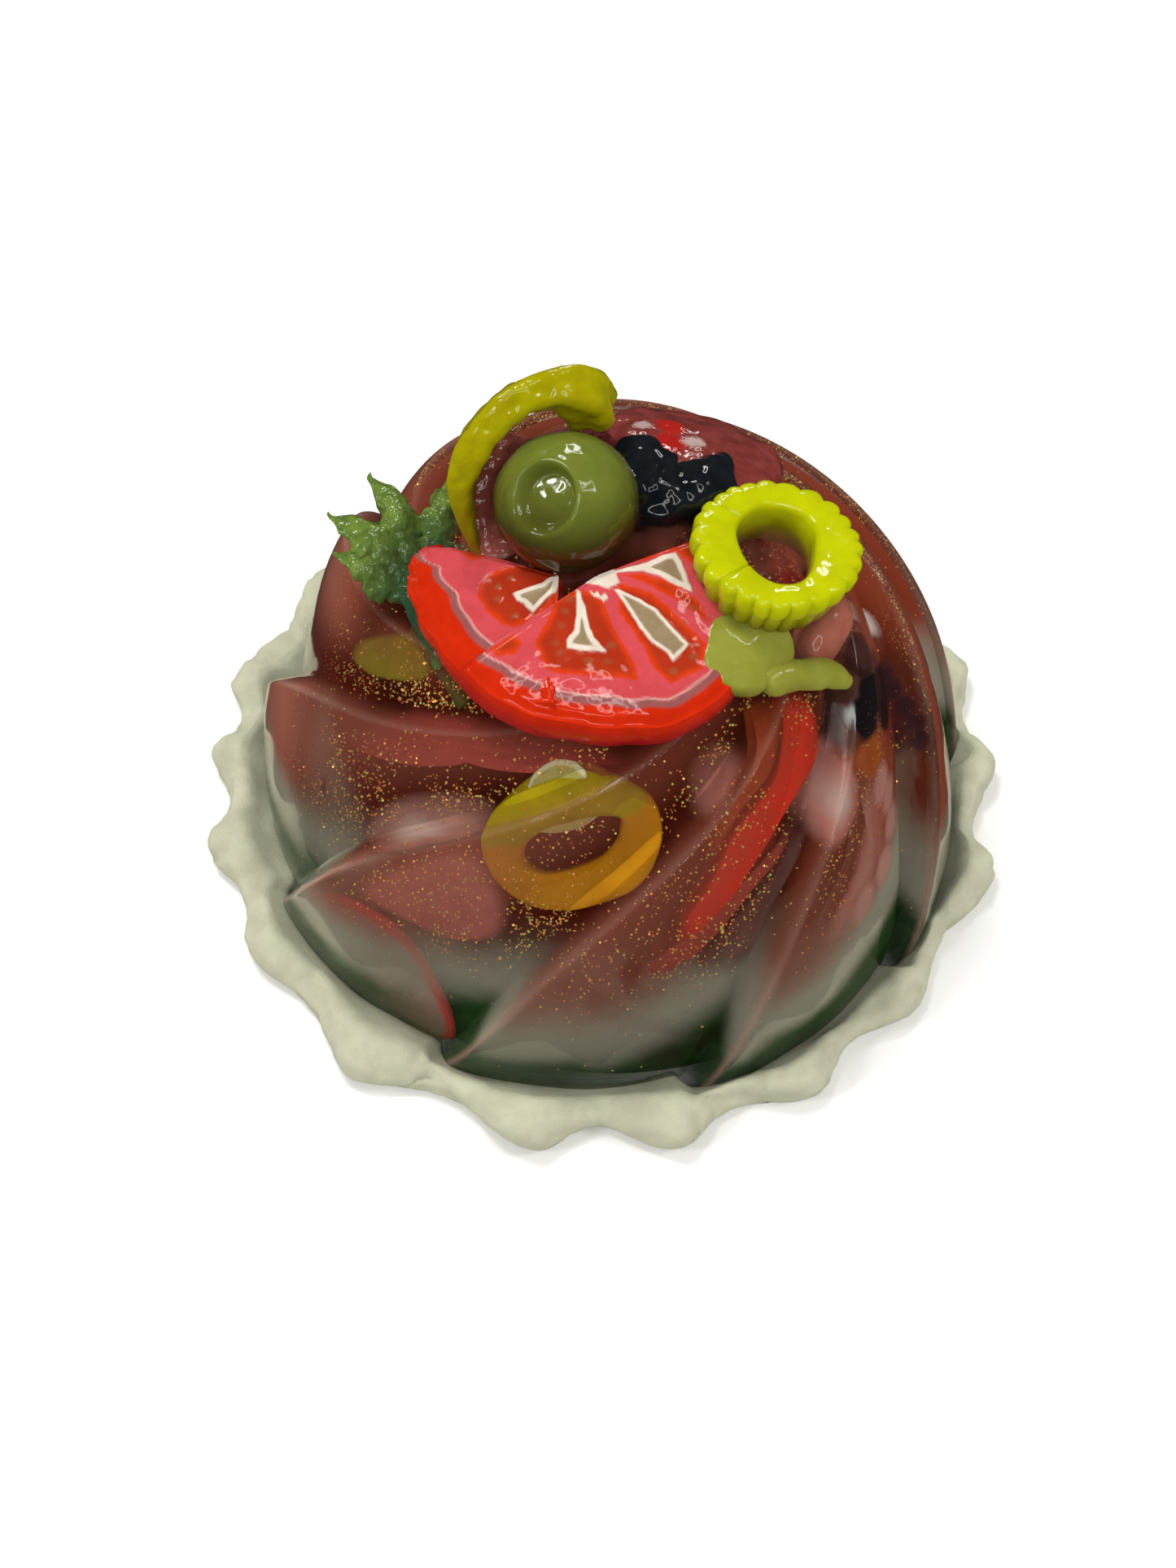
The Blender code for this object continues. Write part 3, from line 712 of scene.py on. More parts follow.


# For each: how far below its wall, thickness, slot, finish and outline.
# The pale middles given to disc_upper, pink_oval and pink_petal are painted highlights.
SUNK = {
    "disc_upper": (1.1, 2.0, "radish", sunk(
        "sunk_pink", rgb(0.34, 0.16, 0.12), rgb(0.24, 0.10, 0.075), soft=0.45,
        glow=rgb(0.46, 0.32, 0.26)), [
            (214.8, 25.7), (214.5, 29.3), (219.1, 34.4), (229.4, 39.1), (239.6, 41.5),
            (245.8, 41.7), (242.3, 39.4), (233.4, 34.9), (226.2, 30.2), (219.7, 26.3)]),
    "disc_middle": (1.3, 2.2, "radish", sunk(
        "sunk_rose", rgb(0.46, 0.155, 0.12), rgb(0.36, 0.10, 0.075)), [
            (218.8, 20.0), (226.4, 29.3), (238.1, 37.3), (245.3, 36.9), (249.7, 32.1),
            (250.9, 27.0), (247.9, 23.2), (240.1, 20.9), (231.5, 20.4), (223.2, 19.5)]),
    "disc_low": (0.3, 1.6, "radish", sunk(
        "sunk_grey_pink", rgb(0.25, 0.15, 0.11), rgb(0.19, 0.095, 0.07), patch=4.0,
        rim=rgb(0.42, 0.022, 0.022), soft=0.0), [
            (207.5, 6.6), (212.5, 12.6), (218.5, 17.4), (228.2, 19.6), (235.3, 17.4), (240.1, 12.2),
            (243.3, 6.2), (242.0, 2.4), (234.0, 1.2), (222.0, 1.2), (211.0, 2.2)]),
    "rim_slice": (0.7, 1.4, "ham", sunk(
        "sunk_dusty_red", rgb(0.36, 0.055, 0.042), rgb(0.26, 0.035, 0.026), soft=0.6), [
            (200.5, 34.6), (203.2, 39.5), (213.0, 45.2), (232.1, 49.4), (253.8, 50.8),
            (270.0, 50.0), (277.3, 48.8), (263.5, 48.9), (243.8, 48.3), (225.5, 46.0),
            (213.1, 42.0), (207.0, 37.0)]),
    "olive_oval": (1.0, 2.2, "green_olive", sunk(
        "sunk_olive", rgb(0.20, 0.17, 0.004), rgb(0.13, 0.11, 0.004)), [
            (185.4, 37.7), (184.8, 41.1), (193.0, 47.6), (201.8, 50.0), (210.6, 50.1),
            (211.4, 47.8), (203.6, 44.2), (193.9, 40.1)]),
    "crescent_bright": (0.5, 2.2, "tomato", sunk(
        "sunk_bright_red", rgb(0.60, 0.018, 0.005), rgb(0.40, 0.030, 0.012), patch=3.5, soft=0.2), [
            (321.5, 49.6), (328.8, 46.4), (323.8, 42.6), (314.9, 39.9), (308.0, 38.2),
            (302.4, 36.2), (296.6, 33.8), (291.5, 31.0), (286.0, 28.4), (281.2, 26.6),
            (280.6, 30.0), (285.5, 33.8), (290.2, 37.6), (294.8, 40.5), (302.2, 42.3),
            (309.4, 44.0), (315.3, 47.0)]),
    "amber_band": (0.9, 1.6, "ham", sunk(
        "sunk_amber_band", rgb(0.33, 0.050, 0.008), rgb(0.22, 0.024, 0.004), patch=2.0, soft=0.5), [
            (313.0, 50.6), (320.0, 49.2), (314.8, 46.2), (309.5, 43.8), (302.1, 42.4),
            (295.0, 41.0), (290.5, 39.0), (287.2, 37.3), (287.1, 39.5), (291.5, 41.9),
            (298.1, 44.2), (304.7, 46.2), (309.0, 48.6)]),
    "crescent_dusty": (0.8, 2.0, "tomato", sunk(
        "sunk_dusty_band", rgb(0.30, 0.045, 0.028), rgb(0.22, 0.04, 0.024)), [
            (303.3, 35.2), (295.5, 33.3), (288.8, 31.1), (282.8, 28.5), (278.0, 26.2),
            (273.5, 24.0), (274.7, 21.9), (280.5, 22.6), (286.8, 25.0), (292.2, 28.0),
            (298.4, 31.0), (304.6, 33.6), (308.8, 36.2)]),
    "mauve_band": (1.1, 1.6, "ham", sunk(
        "sunk_mauve", rgb(0.13, 0.055, 0.045), rgb(0.08, 0.03, 0.022), soft=0.5), [
            (309.5, 36.6), (314.6, 38.0), (309.7, 34.1), (303.8, 30.3), (298.9, 26.3),
            (295.2, 22.2), (292.2, 19.3), (287.7, 18.1), (283.1, 20.8), (284.7, 23.5),
            (290.8, 27.0), (297.7, 30.4), (304.1, 33.4)]),
    "pink_oval": (0.6, 2.6, "radish", sunk(
        "sunk_pale_pink", rgb(0.42, 0.17, 0.14), rgb(0.32, 0.11, 0.085), soft=0.5,
        glow=rgb(0.50, 0.39, 0.33)), [
            (320.4, 42.0), (324.8, 42.9), (325.9, 41.7), (324.4, 38.4), (321.7, 35.2),
            (316.9, 33.5), (311.4, 33.4), (309.2, 35.5), (310.6, 37.4), (313.3, 39.2),
            (316.9, 40.9)]),
    "olive_dark": (0.5, 2.4, "black_olive", sunk(
        "sunk_black", rgb(0.010, 0.008, 0.008), rgb(0.06, 0.025, 0.012), patch=1.6, soft=0.2), [
            (340.6, 48.0), (344.4, 48.6), (347.4, 48.0), (349.5, 44.3), (351.6, 37.8),
            (348.8, 35.2), (343.9, 34.7), (337.5, 36.8), (332.7, 39.0), (327.0, 40.7),
            (323.4, 41.8), (327.4, 44.0), (330.7, 45.1), (336.0, 46.8)]),
    "dark_mauve": (0.7, 1.8, "black_olive", sunk(
        "sunk_dark_mauve", rgb(0.050, 0.014, 0.016), rgb(0.020, 0.008, 0.010), patch=2.0, soft=0.5),
        [
            (353.5, 39.7), (352.0, 36.5), (348.4, 33.6), (345.0, 31.1), (342.0, 28.8),
            (338.6, 27.1), (339.6, 29.6), (342.5, 32.3), (346.0, 34.9), (349.2, 37.2)]),
    "red_haze": (0.6, 1.6, "ham", sunk(
        "sunk_red_haze", rgb(0.28, 0.10, 0.075), rgb(0.20, 0.055, 0.04), soft=0.7), [
            (288.3, 46.5), (294.3, 47.8), (301.7, 47.9), (303.7, 47.0), (299.3, 45.0),
            (294.2, 42.9), (288.8, 42.2), (285.8, 43.4)]),
    # The bubble's bright rim is a painted highlight and its darker middle is painted shade.
    "bubble": (0.2, 0.8, "milky_jelly", sunk(
        "sunk_bubble", rgb(0.38, 0.33, 0.10), rgb(0.30, 0.25, 0.05), patch=2.0,
        rim=rgb(0.56, 0.52, 0.30), soft=0.0, glow=rgb(0.30, 0.24, 0.02)), [
            (248.9, 44.0), (250.0, 46.6), (254.6, 48.3), (261.0, 48.1), (266.8, 46.9),
            (267.6, 45.1), (263.5, 43.2), (257.0, 42.1), (251.8, 42.3)]),
    "amber": (0.4, 1.6, "ham", sunk(
        "sunk_amber", rgb(0.34, 0.075, 0.008), rgb(0.22, 0.04, 0.004), patch=2.0, soft=0.5), [
            (322.9, 42.0), (327.5, 42.2), (335.8, 39.6), (335.9, 35.6), (331.8, 34.5),
            (324.9, 36.7), (321.7, 40.1)]),
    "cream_strip": (0.3, 1.2, "cream_clay", sunk(
        "sunk_cream", rgb(0.50, 0.42, 0.38), rgb(0.38, 0.26, 0.22), soft=0.5), [
            (357.1, 48.9), (361.3, 44.8), (362.0, 41.4), (358.9, 39.1), (356.3, 39.7),
            (355.9, 43.0), (352.9, 47.2), (352.0, 49.0)]),
    "pink_petal": (0.4, 1.8, "radish", sunk(
        "sunk_petal", rgb(0.38, 0.20, 0.16), rgb(0.28, 0.12, 0.09), soft=0.5,
        glow=rgb(0.50, 0.34, 0.28)), [
            (322.5, 38.4), (328.9, 36.9), (336.8, 32.4), (338.2, 26.6), (334.2, 21.8),
            (330.0, 18.2), (325.3, 15.8), (318.7, 17.4), (311.2, 19.4), (305.0, 19.8),
            (304.9, 23.4), (309.3, 26.1), (314.5, 28.7), (317.1, 31.2), (321.4, 33.9)])}
CLOSE_TO_SKIN = ("olive_dark", "dark_mauve", "amber", "pink_petal", "pink_oval")
for name, (inset, thick, slot, finish, outline) in SUNK.items():
    sheet, reaches = laid_sheet(outline, inset, thick, name in CLOSE_TO_SKIN)
    mark_reach(make_piece("sunk_" + name, sheet, finish, slot), reaches)

# %% Sunk pepper ring and stem
PEPPER_OUTER = [(242.5, 38.9), (243.2, 41.8), (248.3, 45.2), (255.4, 47.3), (267.8, 47.9),
                (278.0, 45.1), (280.4, 42.0), (278.6, 39.3), (274.6, 36.5), (268.5, 34.2),
                (259.4, 31.5), (252.2, 32.3), (245.9, 35.2)]
PEPPER_INNER = [(251.6, 38.4), (252.0, 40.0), (254.2, 41.6), (258.0, 42.8), (265.0, 44.0),
                (270.6, 43.9), (271.0, 41.8), (270.0, 40.2), (267.0, 38.2), (262.0, 36.8),
                (257.5, 35.9), (254.4, 36.0), (252.4, 37.0)]


def two_tone_pepper():
    """Orange where the jelly over it is thick and yellow above the petal's edge."""
    material, tree, shader = new_material("sunk_pepper", {"Specular IOR Level": 0.2})
    above = stored(tree, "reach")
    body = use_group(tree, "clay grain", {
        "Colour": blend_colours(tree, above, rgb(0.46, 0.19, 0.0003), rgb(0.33, 0.25, 0.0003)),
        "Shade": blend_colours(tree, above, rgb(0.36, 0.125, 0.0003), rgb(0.20, 0.15, 0.0003)),
        "Patch Size": 4.0, "Grain Size": 0.6, "Shine": 0.5, "Dull": 0.7})
    feed(tree, shader, Base_Color=body.outputs["Colour"], Roughness=body.outputs["Roughness"])
    return material


ring_piece = make_piece("sunk_pepper_ring", laid_ring(PEPPER_OUTER, PEPPER_INNER, 0.1, 2.4),
                        two_tone_pepper(), "yellow_pepper")
line_over = []
for vertex in ring_piece.data.vertices:
    x, y, z = vertex.co / MM
    petal_edge = 38.6 + 0.19 * (math.degrees(math.atan2(y, x)) % 360 - 242.5)
    line_over.append(ease(-0.3, 0.3, z - petal_edge))
mark_reach(ring_piece, line_over)
STEM_SUNK = through([(-24.1, -7.2, 49.8), (-22.0, -11.8, 50.0), (-19.9, -15.2, 49.3),
                     (-18.2, -18.2, 48.5)])
sunk_stem = sweep(STEM_SUNK, lambda t, a: (1.5 - 0.4 * t, 1.2 - 0.3 * t), 40, 16, (-0.5, -0.3, 0.8))
make_piece("sunk_stem", sunk_stem,
           sunk("sunk_stem", rgb(0.07, 0.065, 0.012), rgb(0.03, 0.035, 0.01), soft=0.0), "herb")

# %% [markdown]
# ## Glitter
#
# The brown jelly is full of fine metal flakes. A speckled texture would stay flat when the
# dome turns, so each flake is a real hexagonal plate, a fifth to a third of a millimetre across
# and turned its own way. They are joined into one piece for each colour.

# %% Flakes
FLAKE_SMALL, FLAKE_LARGE, FLAKE_HALF_THICK = 0.09, 0.18, 0.015
FLAKE_DEPTH = 2.6


def flakes(count, seed):
    """Hexagonal plates scattered through the outer millimetres of the brown jelly."""
    draw_lots = random.Random(seed)
    points, faces = [], []
    made = 0
    while made < count:
        share, along = draw_lots.random() * 0.87, draw_lots.random()
        flute, inset = draw_lots.randrange(FLUTES), 0.2 + FLAKE_DEPTH * draw_lots.random() ** 2.2
        spot = dome_point(share, along, flute, inset)
        patch = noise.noise(spot / 9.0) + 0.35 * noise.noise(spot / 3.0)
        dark = 0.35 + 0.65 * soft_hollow(along) ** 1.5
        dense = ease(16.0, 30.0, spot.z) * ease(-0.6, 0.4, patch) * dark
        dense = dense * crest_radius(share) / DOME_RADIUS
        if draw_lots.random() > dense + 0.01:
            continue
        made += 1
        out = Vector((spot.x, spot.y, 0.8 * spot.z)).normalized()
        face = (out + 0.9 * Vector([draw_lots.uniform(-1, 1) for _ in range(3)])).normalized()
        side = face.orthogonal().normalized()
        top = face.cross(side)
        radius, turn = draw_lots.uniform(FLAKE_SMALL, FLAKE_LARGE), draw_lots.random() * TAU
        first = len(points)
        for lift in (FLAKE_HALF_THICK, -FLAKE_HALF_THICK):
            for k in range(6):
                a = turn + TAU * k / 6
                corner = side * math.cos(a) + top * math.sin(a)
                points.append(tuple(spot + radius * corner + face * lift))
        faces += [tuple(first + k for k in range(6)), tuple(first + 11 - k for k in range(6))]
        for k in range(6):
            after = (k + 1) % 6
            faces.append((first + k, first + 6 + k, first + 6 + after, first + after))
    return points, faces


def foil(name, colour, glow):
    # Painted light: each flake also glows faintly in its own colour, so that it sparkles where no
    # lamp catches it.
    material, tree, shader = new_material(name, {"Metallic": 0.85, "Emission Strength": glow})
    point = use_group(tree, "millimetres").outputs["Point"]
    speck = node(tree, "TexNoise", inputs={"Vector": point, "Scale": 2.2})
    darker = rgb(*(value * 0.6 for value in colour[:3]))
    shade = blend_colours(tree, band(tree, speck.outputs[0], 0.4, 0.6), colour, darker)
    rough = maths(tree, "ADD", 0.2, maths(tree, "MULTIPLY", speck.outputs[0], 0.25))
    feed(tree, shader, Base_Color=shade, Emission_Color=shade, Roughness=rough)
    return material


FOILS = (("copper", rgb(0.98, 0.36, 0.08), 4200, 3), ("gold", rgb(1.0, 0.66, 0.18), 6800, 5),
         ("green", rgb(0.62, 0.76, 0.18), 1600, 8))
# The strength of the flakes' painted glow.
FOIL_GLOW = 0.35
for name, colour, count, seed in FOILS:
    flake = make_piece("glitter_" + name, flakes(count, seed),
                       foil("foil_" + name, colour, FOIL_GLOW), "brown_jelly")
    flake.data.shade_flat()

# %% [markdown]
# ## The piped border
#
# The border is soft clay squeezed from a bag in short pushes. Each push leaves a round head and
# a tail that the next head covers. A sweep round the foot with a swelling section gives the
# rhythm. A wave makes the folds along each tail, and two noises and fine creases that run along
# the band make it look squeezed and handled.

# %% Border
SHELL_ANGLES = (2, 20, 41, 60, 82, 101, 122, 143, 164, 177, 193, 211, 233, 260, 279, 299, 319, 343)
BORDER_NECK, BORDER_BULGE, BORDER_DRIFT = 54.9, 2.6, 1.3
BORDER_LOW, BORDER_HIGH = 4.9, 6.9
BORDER_COLUMNS, BORDER_SIDES = 900, 30
FOLD_HEIGHT, CREASE_DEPTH, CREASE_WIDTH = 0.14, 0.42, 0.09


def foot_radius(angle):
    """The dome's reach near the floor, taken a little to each side of an angle."""
    reach = 0.0
    for z in (0.0, BORDER_HIGH / 2, BORDER_HIGH):
        share = climb(z)
        for spread in (-0.6, 0.0, 0.6):
            turned = angle + math.radians(spread) - FLUTE_START - twist(share)
            reach = max(reach, dome_radius(share, (turned / PITCH) % 1))
    return reach


def shell_at(angle):
    """How far along its shell an angle lies, 0 at the head, and the shell's number."""
    degrees = math.degrees(angle) % 360
    heads = list(SHELL_ANGLES) + [SHELL_ANGLES[0] + 360]
    if degrees < heads[0]:
        degrees += 360
    for number, (first, second) in enumerate(zip(heads, heads[1:])):
        if first <= degrees < second:
            return (degrees - first) / (second - first), number
    return 0.0, 0


def border_rings():
    rings = []
    for i in range(BORDER_COLUMNS):
        angle = TAU * i / BORDER_COLUMNS
        along, number = shell_at(angle)
        places = [(number + k) % len(SHELL_ANGLES) * 1.7 for k in (0, 1)]
        size, following = (0.86 + 0.48 * noise.noise(Vector((at, 3.1, 0.4))) for at in places)
        size += (following - size) * ease(0.0, 1.0, along)
        swell = (0.5 + 0.5 * math.cos(TAU * along ** 0.86)) ** 1.1 * size + 0.04
        inner = foot_radius(angle) - 1.3
        outer = (BORDER_NECK - 1.3 * (1 - swell) + BORDER_BULGE * swell
                 - BORDER_DRIFT * math.cos(angle))
        high = BORDER_LOW - 0.5 + (BORDER_HIGH - BORDER_LOW + 0.5) * swell
        middle, half = (inner + outer) / 2, (outer - inner) / 2
        ring = []
        for j in range(BORDER_SIDES):
            a = TAU * (j + 0.5) / BORDER_SIDES
            tail = ease(0.05, 0.4, along) * (1 - ease(0.7, 1.0, along))
            fold = FOLD_HEIGHT * tail * math.sin(3 * a + 5 * along + 2.3 * number)
            across = math.copysign(abs(math.cos(a)) ** 0.9, math.cos(a)) * (1 + fold * 0.6)
            upward = math.copysign(abs(math.sin(a)) ** 0.95, math.sin(a)) * (1 + fold)
            radius = middle + half * across
            spot = Vector((radius * math.cos(angle), radius * math.sin(angle), 5 * upward))
            band_spot = Vector((4.2 * math.cos(angle), 4.2 * math.sin(angle),
                                (half * across + 2.5 * upward) / 3.2))
            crease = math.exp(-(noise.noise(band_spot) / CREASE_WIDTH) ** 2)
            lump = 0.5 * noise.noise(spot / 4.2) + 0.2 * noise.noise(spot / 1.7)
            lump = lump - CREASE_DEPTH * crease
            z = max(0.0, high * (0.42 + 0.56 * upward) * (1 - 0.62 * max(-across, 0) ** 0.8) + lump)
            ring.append(((radius + lump) * math.cos(angle), (radius + lump) * math.sin(angle), z))
        rings.append(ring)
    return rings


def matt_clay(name, colour, shade):
    """Dry clay with a fine grain that is felt as well as seen."""
    material, tree, shader = new_material(name, {})
    body = use_group(tree, "clay grain", {"Colour": colour, "Shade": shade, "Patch Size": 3.0,
                                          "Grain Size": 0.3, "Shine": 0.6, "Dull": 0.85})
    lift = node(tree, "Bump", inputs={
        "Strength": 1.0, "Distance": MM,
        "Height": maths(tree, "MULTIPLY", body.outputs["Height"], 0.10)})
    feed(tree, shader, Base_Color=body.outputs["Colour"], Roughness=body.outputs["Roughness"],
         Normal=lift.outputs[0])
    return material


cream = matt_clay("cream_clay", rgb(0.51, 0.51, 0.37), rgb(0.41, 0.40, 0.28))
make_piece("border_clay", loft(border_rings(), closed=True), cream, "cream_clay", "piped_border")

# %% [markdown]
# ## Painted tomato slices
#
# The two tomato slices are painted clay under thick clear resin: a bright skin, a thin mauve line,
# pink flesh in spokes, orange gel with seeds between them, and a cream heart. Near the heart are
# cream-outlined tan shapes, painted reflections of a lit window in the wet coat. An image could
# carry the drawing, but a drawing made of outlines stays sharp at any size. Each outline below is
# a ring of points on the slice's face, and every point of a fine mesh takes its paint from the
# outlines that it lies in.

# %% Drawing on a slice
# The tan, and the cream where it outlines it, paint reflections; the cream also paints the real
# heart.
PAINT = {
    "skin": (0.52, 0.020, 0.003), "side": (0.36, 0.010, 0.010), "mauve": (0.27, 0.085, 0.080),
    "line": (0.62, 0.30, 0.27), "flesh": (0.53, 0.062, 0.070), "gel": (0.36, 0.028, 0.008),
    "gel rim": (0.56, 0.040, 0.006), "seed": (0.26, 0.085, 0.030), "cream": (0.66, 0.58, 0.47),
    "tan": (0.27, 0.20, 0.11), "heart": (0.30, 0.022, 0.020)}


def depth_in(outline, x, y):
    """How deep a point lies inside an outline; outside it is below zero."""
    nearest, inside = 1e9, False
    for (ax, ay), (bx, by) in zip(outline, outline[1:] + outline[:1]):
        ux, uy, vx, vy = bx - ax, by - ay, x - ax, y - ay
        t = min(max((vx * ux + vy * uy) / (ux * ux + uy * uy), 0.0), 1.0)
        nearest = min(nearest, (vx - t * ux) ** 2 + (vy - t * uy) ** 2)
        if (ay > y) != (by > y) and x < ux * (y - ay) / uy + ax:
            inside = not inside
    return math.sqrt(nearest) if inside else -math.sqrt(nearest)


def mix(first, second, amount):
    return tuple(a + (b - a) * amount for a, b in zip(first, second))


def paint_at(x, y, mauve, picture):
    """Colour and lift of a point on a slice's face, from its distance inside the mauve line."""
    shake = 0.18 * noise.noise(Vector((x, y, 0)) / 0.9)
    colour, lift = PAINT["flesh"], 0.0
    for outline in picture["gel"]:
        deep = depth_in(outline, x, y) + shake
        if deep > -0.15:
            gel = mix(PAINT["gel rim"], PAINT["gel"], ease(0.1, 1.0, deep))
            share = ease(-0.15, 0.12, deep)
            colour, lift = mix(colour, gel, share), -0.16 * share
            for sx, sy in picture["seeds"]:
                near = math.hypot(x - sx, (y - sy) * 1.25) - 2.2 * shake
                colour = mix(colour, PAINT["seed"], 0.62 * (1 - ease(0.15, 0.75, near)))
                lift += 0.10 * (1 - ease(0.2, 0.8, near))
    # Painted reflections: a cream outline with tan inside stands for a lit window mirrored in the
    # wet coat.
    for outline, edge in picture["window_reflections"]:
        deep = depth_in(outline, x, y) + shake * 0.5
        if deep > -0.1:
            pane = mix(PAINT["cream"], PAINT["tan"], ease(edge, edge + 0.22, deep))
            share = ease(-0.1, 0.1, deep)
            colour = mix(colour, pane, share)
            lift = 0.14 * share - 0.2 * ease(edge, edge + 0.3, deep)
    for outline in picture["heart"]:
        share = ease(-0.12, 0.12, depth_in(outline, x, y) + shake)
        colour, lift = mix(colour, PAINT["cream"], share), max(lift, 0.12 * share)
    out = -mauve
    if out > -0.45:
        colour = mix(colour, PAINT["line"], ease(-0.35, -0.15, out))
        colour = mix(colour, PAINT["mauve"], ease(-0.1, 0.1, out))
        colour = mix(colour, PAINT["skin"], ease(0.75, 1.15, out))
    return colour, lift


SLICE_ROWS, UNDER_ROWS, SLICE_START = 84, 4, 0.12
SLICE_DROOP = 2.6 / 420


def slice_shape(start, stop, columns, edge, mauve, picture, thick):
    """A wedge of tomato as points, faces and a paint colour for each point."""
    points, paint = [], []
    half = thick / 2
    wall = [(0.25, 0.46), (0.6, 0.34), (0.95, 0.12), (1.1, -0.15), (1.0, -0.42), (0.5, -0.5)]
    for i in range(columns + 1):
        degrees = start + (stop - start) * i / columns
        a = math.radians(degrees)
        rim = edge(degrees)
        cut = min(abs(degrees - start), abs(degrees - stop))
        for j in range(SLICE_ROWS + 1):
            r = SLICE_START + (rim - SLICE_START) * j / SLICE_ROWS
            x, y = r * math.cos(a), r * math.sin(a)
            colour, lift = paint_at(x, y, mauve(degrees) - r, picture)
            near_cut = r * math.sin(math.radians(min(cut, 90)))
            z = half + lift - 0.45 * (1 - ease(0, 0.8, near_cut)) - 0.35 * ease(rim - 1.4, rim, r)
            points.append((x, y, z - SLICE_DROOP * r * r))
            if cut < 0.01:
                colour = mix(PAINT["side"], colour, ease(0.0, 0.12, near_cut))
            paint.append(colour)
        for out, level in wall:
            r = rim + out
            points.append((r * math.cos(a), r * math.sin(a), thick * level - SLICE_DROOP * r * r))
            paint.append(mix(PAINT["side"], PAINT["skin"], ease(-0.05, 0.42, level)))
        for j in reversed(range(UNDER_ROWS)):
            r = SLICE_START + (rim - 0.8) * j / UNDER_ROWS
            points.append((r * math.cos(a), r * math.sin(a), -half - SLICE_DROOP * r * r))
            paint.append(PAINT["side"])
    count = SLICE_ROWS + 1 + len(wall) + UNDER_ROWS
    faces = []
    for i in range(columns):
        for j in range(count):
            k = (j + 1) % count
            faces.append((i * count + j, i * count + k, (i + 1) * count + k, (i + 1) * count + j))
    faces.append(tuple(range(count)))
    faces.append(tuple(columns * count + j for j in reversed(range(count))))
    return points, faces, paint


def painted(piece, paint):
    layer = piece.data.color_attributes.new("paint", "FLOAT_COLOR", "POINT")
    layer.data.foreach_set("color", [c for colour in paint for c in (*colour, 1.0)])


def round_of(table):
    """A smooth value between the values of a table of degrees."""
    stops = sorted(table.items())

    def value(degrees):
        for (a, p), (b, q) in zip(stops, stops[1:]):
            if degrees <= b:
                return p + (q - p) * ease(a, b, max(degrees, a))
        return stops[-1][1]
    return value


print("paints:", len(PAINT))

# %% Wet painted finish
def wet_paint():
    material, tree, shader = new_material("wet_tomato", {"Specular IOR Level": 0.28})
    drawn = node(tree, "Attribute", {"attribute_name": "paint"}).outputs["Color"]
    body = use_group(tree, "clay grain", {
        "Colour": rgb(1, 1, 1), "Shade": rgb(0.72, 0.6, 0.6), "Dull": 0.12,
        "Patch Size": 2.6, "Grain Size": 0.5, "Shine": 0.04})
    tinted = node(tree, "Mix", {"data_type": "RGBA", "blend_type": "MULTIPLY"},
                  {0: 0.8, 6: drawn, 7: body.outputs["Colour"]}).outputs[2]
    gloss = use_group(tree, "pooled gloss", {"Wave Size": 3.0, "Wave Depth": 0.30})
    feed(tree, shader, Base_Color=tinted, Roughness=body.outputs["Roughness"],
         Normal=gloss.outputs["Normal"])
    return material


tomato_finish = wet_paint()
print("finish:", tomato_finish.name)

# %% Front slice
FRONT_PICTURE = {
    "gel": [
        [(-4.9, -3.6), (-5.7, -5.9), (-7.1, -8.3), (-6.7, -9.7), (-5.6, -11.6), (-3.9, -12.2),
         (1.2, -12.3), (5.1, -12.5), (4.8, -10.7), (3.9, -9.3), (2.7, -7.4), (1.0, -4.0),
         (0.4, -2.2), (-2.5, -1.9)],
        [(2.6, -0.9), (6.6, -1.9), (9.5, -4.3), (13.3, -7.7), (12.8, -10.7), (9.1, -12.7),
         (7.1, -11.1), (5.6, -8.3), (2.7, -4.5)],
        [(3.0, 0.2), (5.5, 0.3), (8.0, -0.2), (10.4, -1.2), (12.4, -2.5), (13.3, -4.8),
         (9.5, -2.5), (5.5, -0.6)],
        [(3.1, 2.2), (5.4, 4.1), (7.7, 5.8), (10.3, 7.2), (12.4, 6.3), (12.1, 2.0), (10.6, 2.7),
         (9.5, 3.7), (7.7, 3.4), (5.7, 2.2)],
        [(-12.4, -9.2), (-9.6, -7.4), (-8.6, -8.6), (-9.4, -9.9), (-11.4, -10.2)]],
    "seeds": [(-3.5, -4.7), (-4.0, -6.5), (-4.8, -8.5), (-4.2, -9.6), (-0.8, -10.7), (1.4, -10.6),
              (1.8, -8.6), (-3.3, -3.2), (10.6, -5.1), (11.5, -9.3), (9.4, -11.2), (8.4, 5.1),
              (10.4, 5.7), (11.6, -3.3)],
    "window_reflections": [
        ([(-2.4, -1.6), (-2.3, -4.7), (-2.5, -7.0), (-3.4, -8.2), (-3.3, -9.0), (-1.7, -9.4),
          (1.4, -9.4), (-0.1, -7.8), (-0.7, -6.7), (-1.3, -4.1), (-2.1, -1.9)], 0.55),
        ([(2.1, -1.8), (3.8, -4.1), (5.3, -6.4), (6.7, -8.0), (8.5, -9.0), (9.3, -10.1),
          (11.2, -7.9), (9.3, -6.1), (7.2, -3.9), (5.2, -2.8), (2.6, -1.7)], 0.34),
        ([(2.0, 0.7), (6.0, 1.9), (8.0, 3.1), (9.5, 3.4), (10.5, 1.5), (11.5, -1.4), (9.5, -0.7),
          (7.5, 0.3), (5.4, 0.8), (2.0, 0.3)], 0.6)],
    "heart": [[(-1.9, -0.8), (1.3, 1.7), (2.2, 0.6), (2.6, -0.9), (1.5, -1.7), (0.1, -1.3)],
              [(-0.8, -2.1), (-0.3, -2.5), (0.2, -2.1), (0.5, -2.8), (1.0, -2.2), (1.4, -2.9),
               (0.8, -3.4), (0.4, -2.9), (-0.2, -2.8)]]}
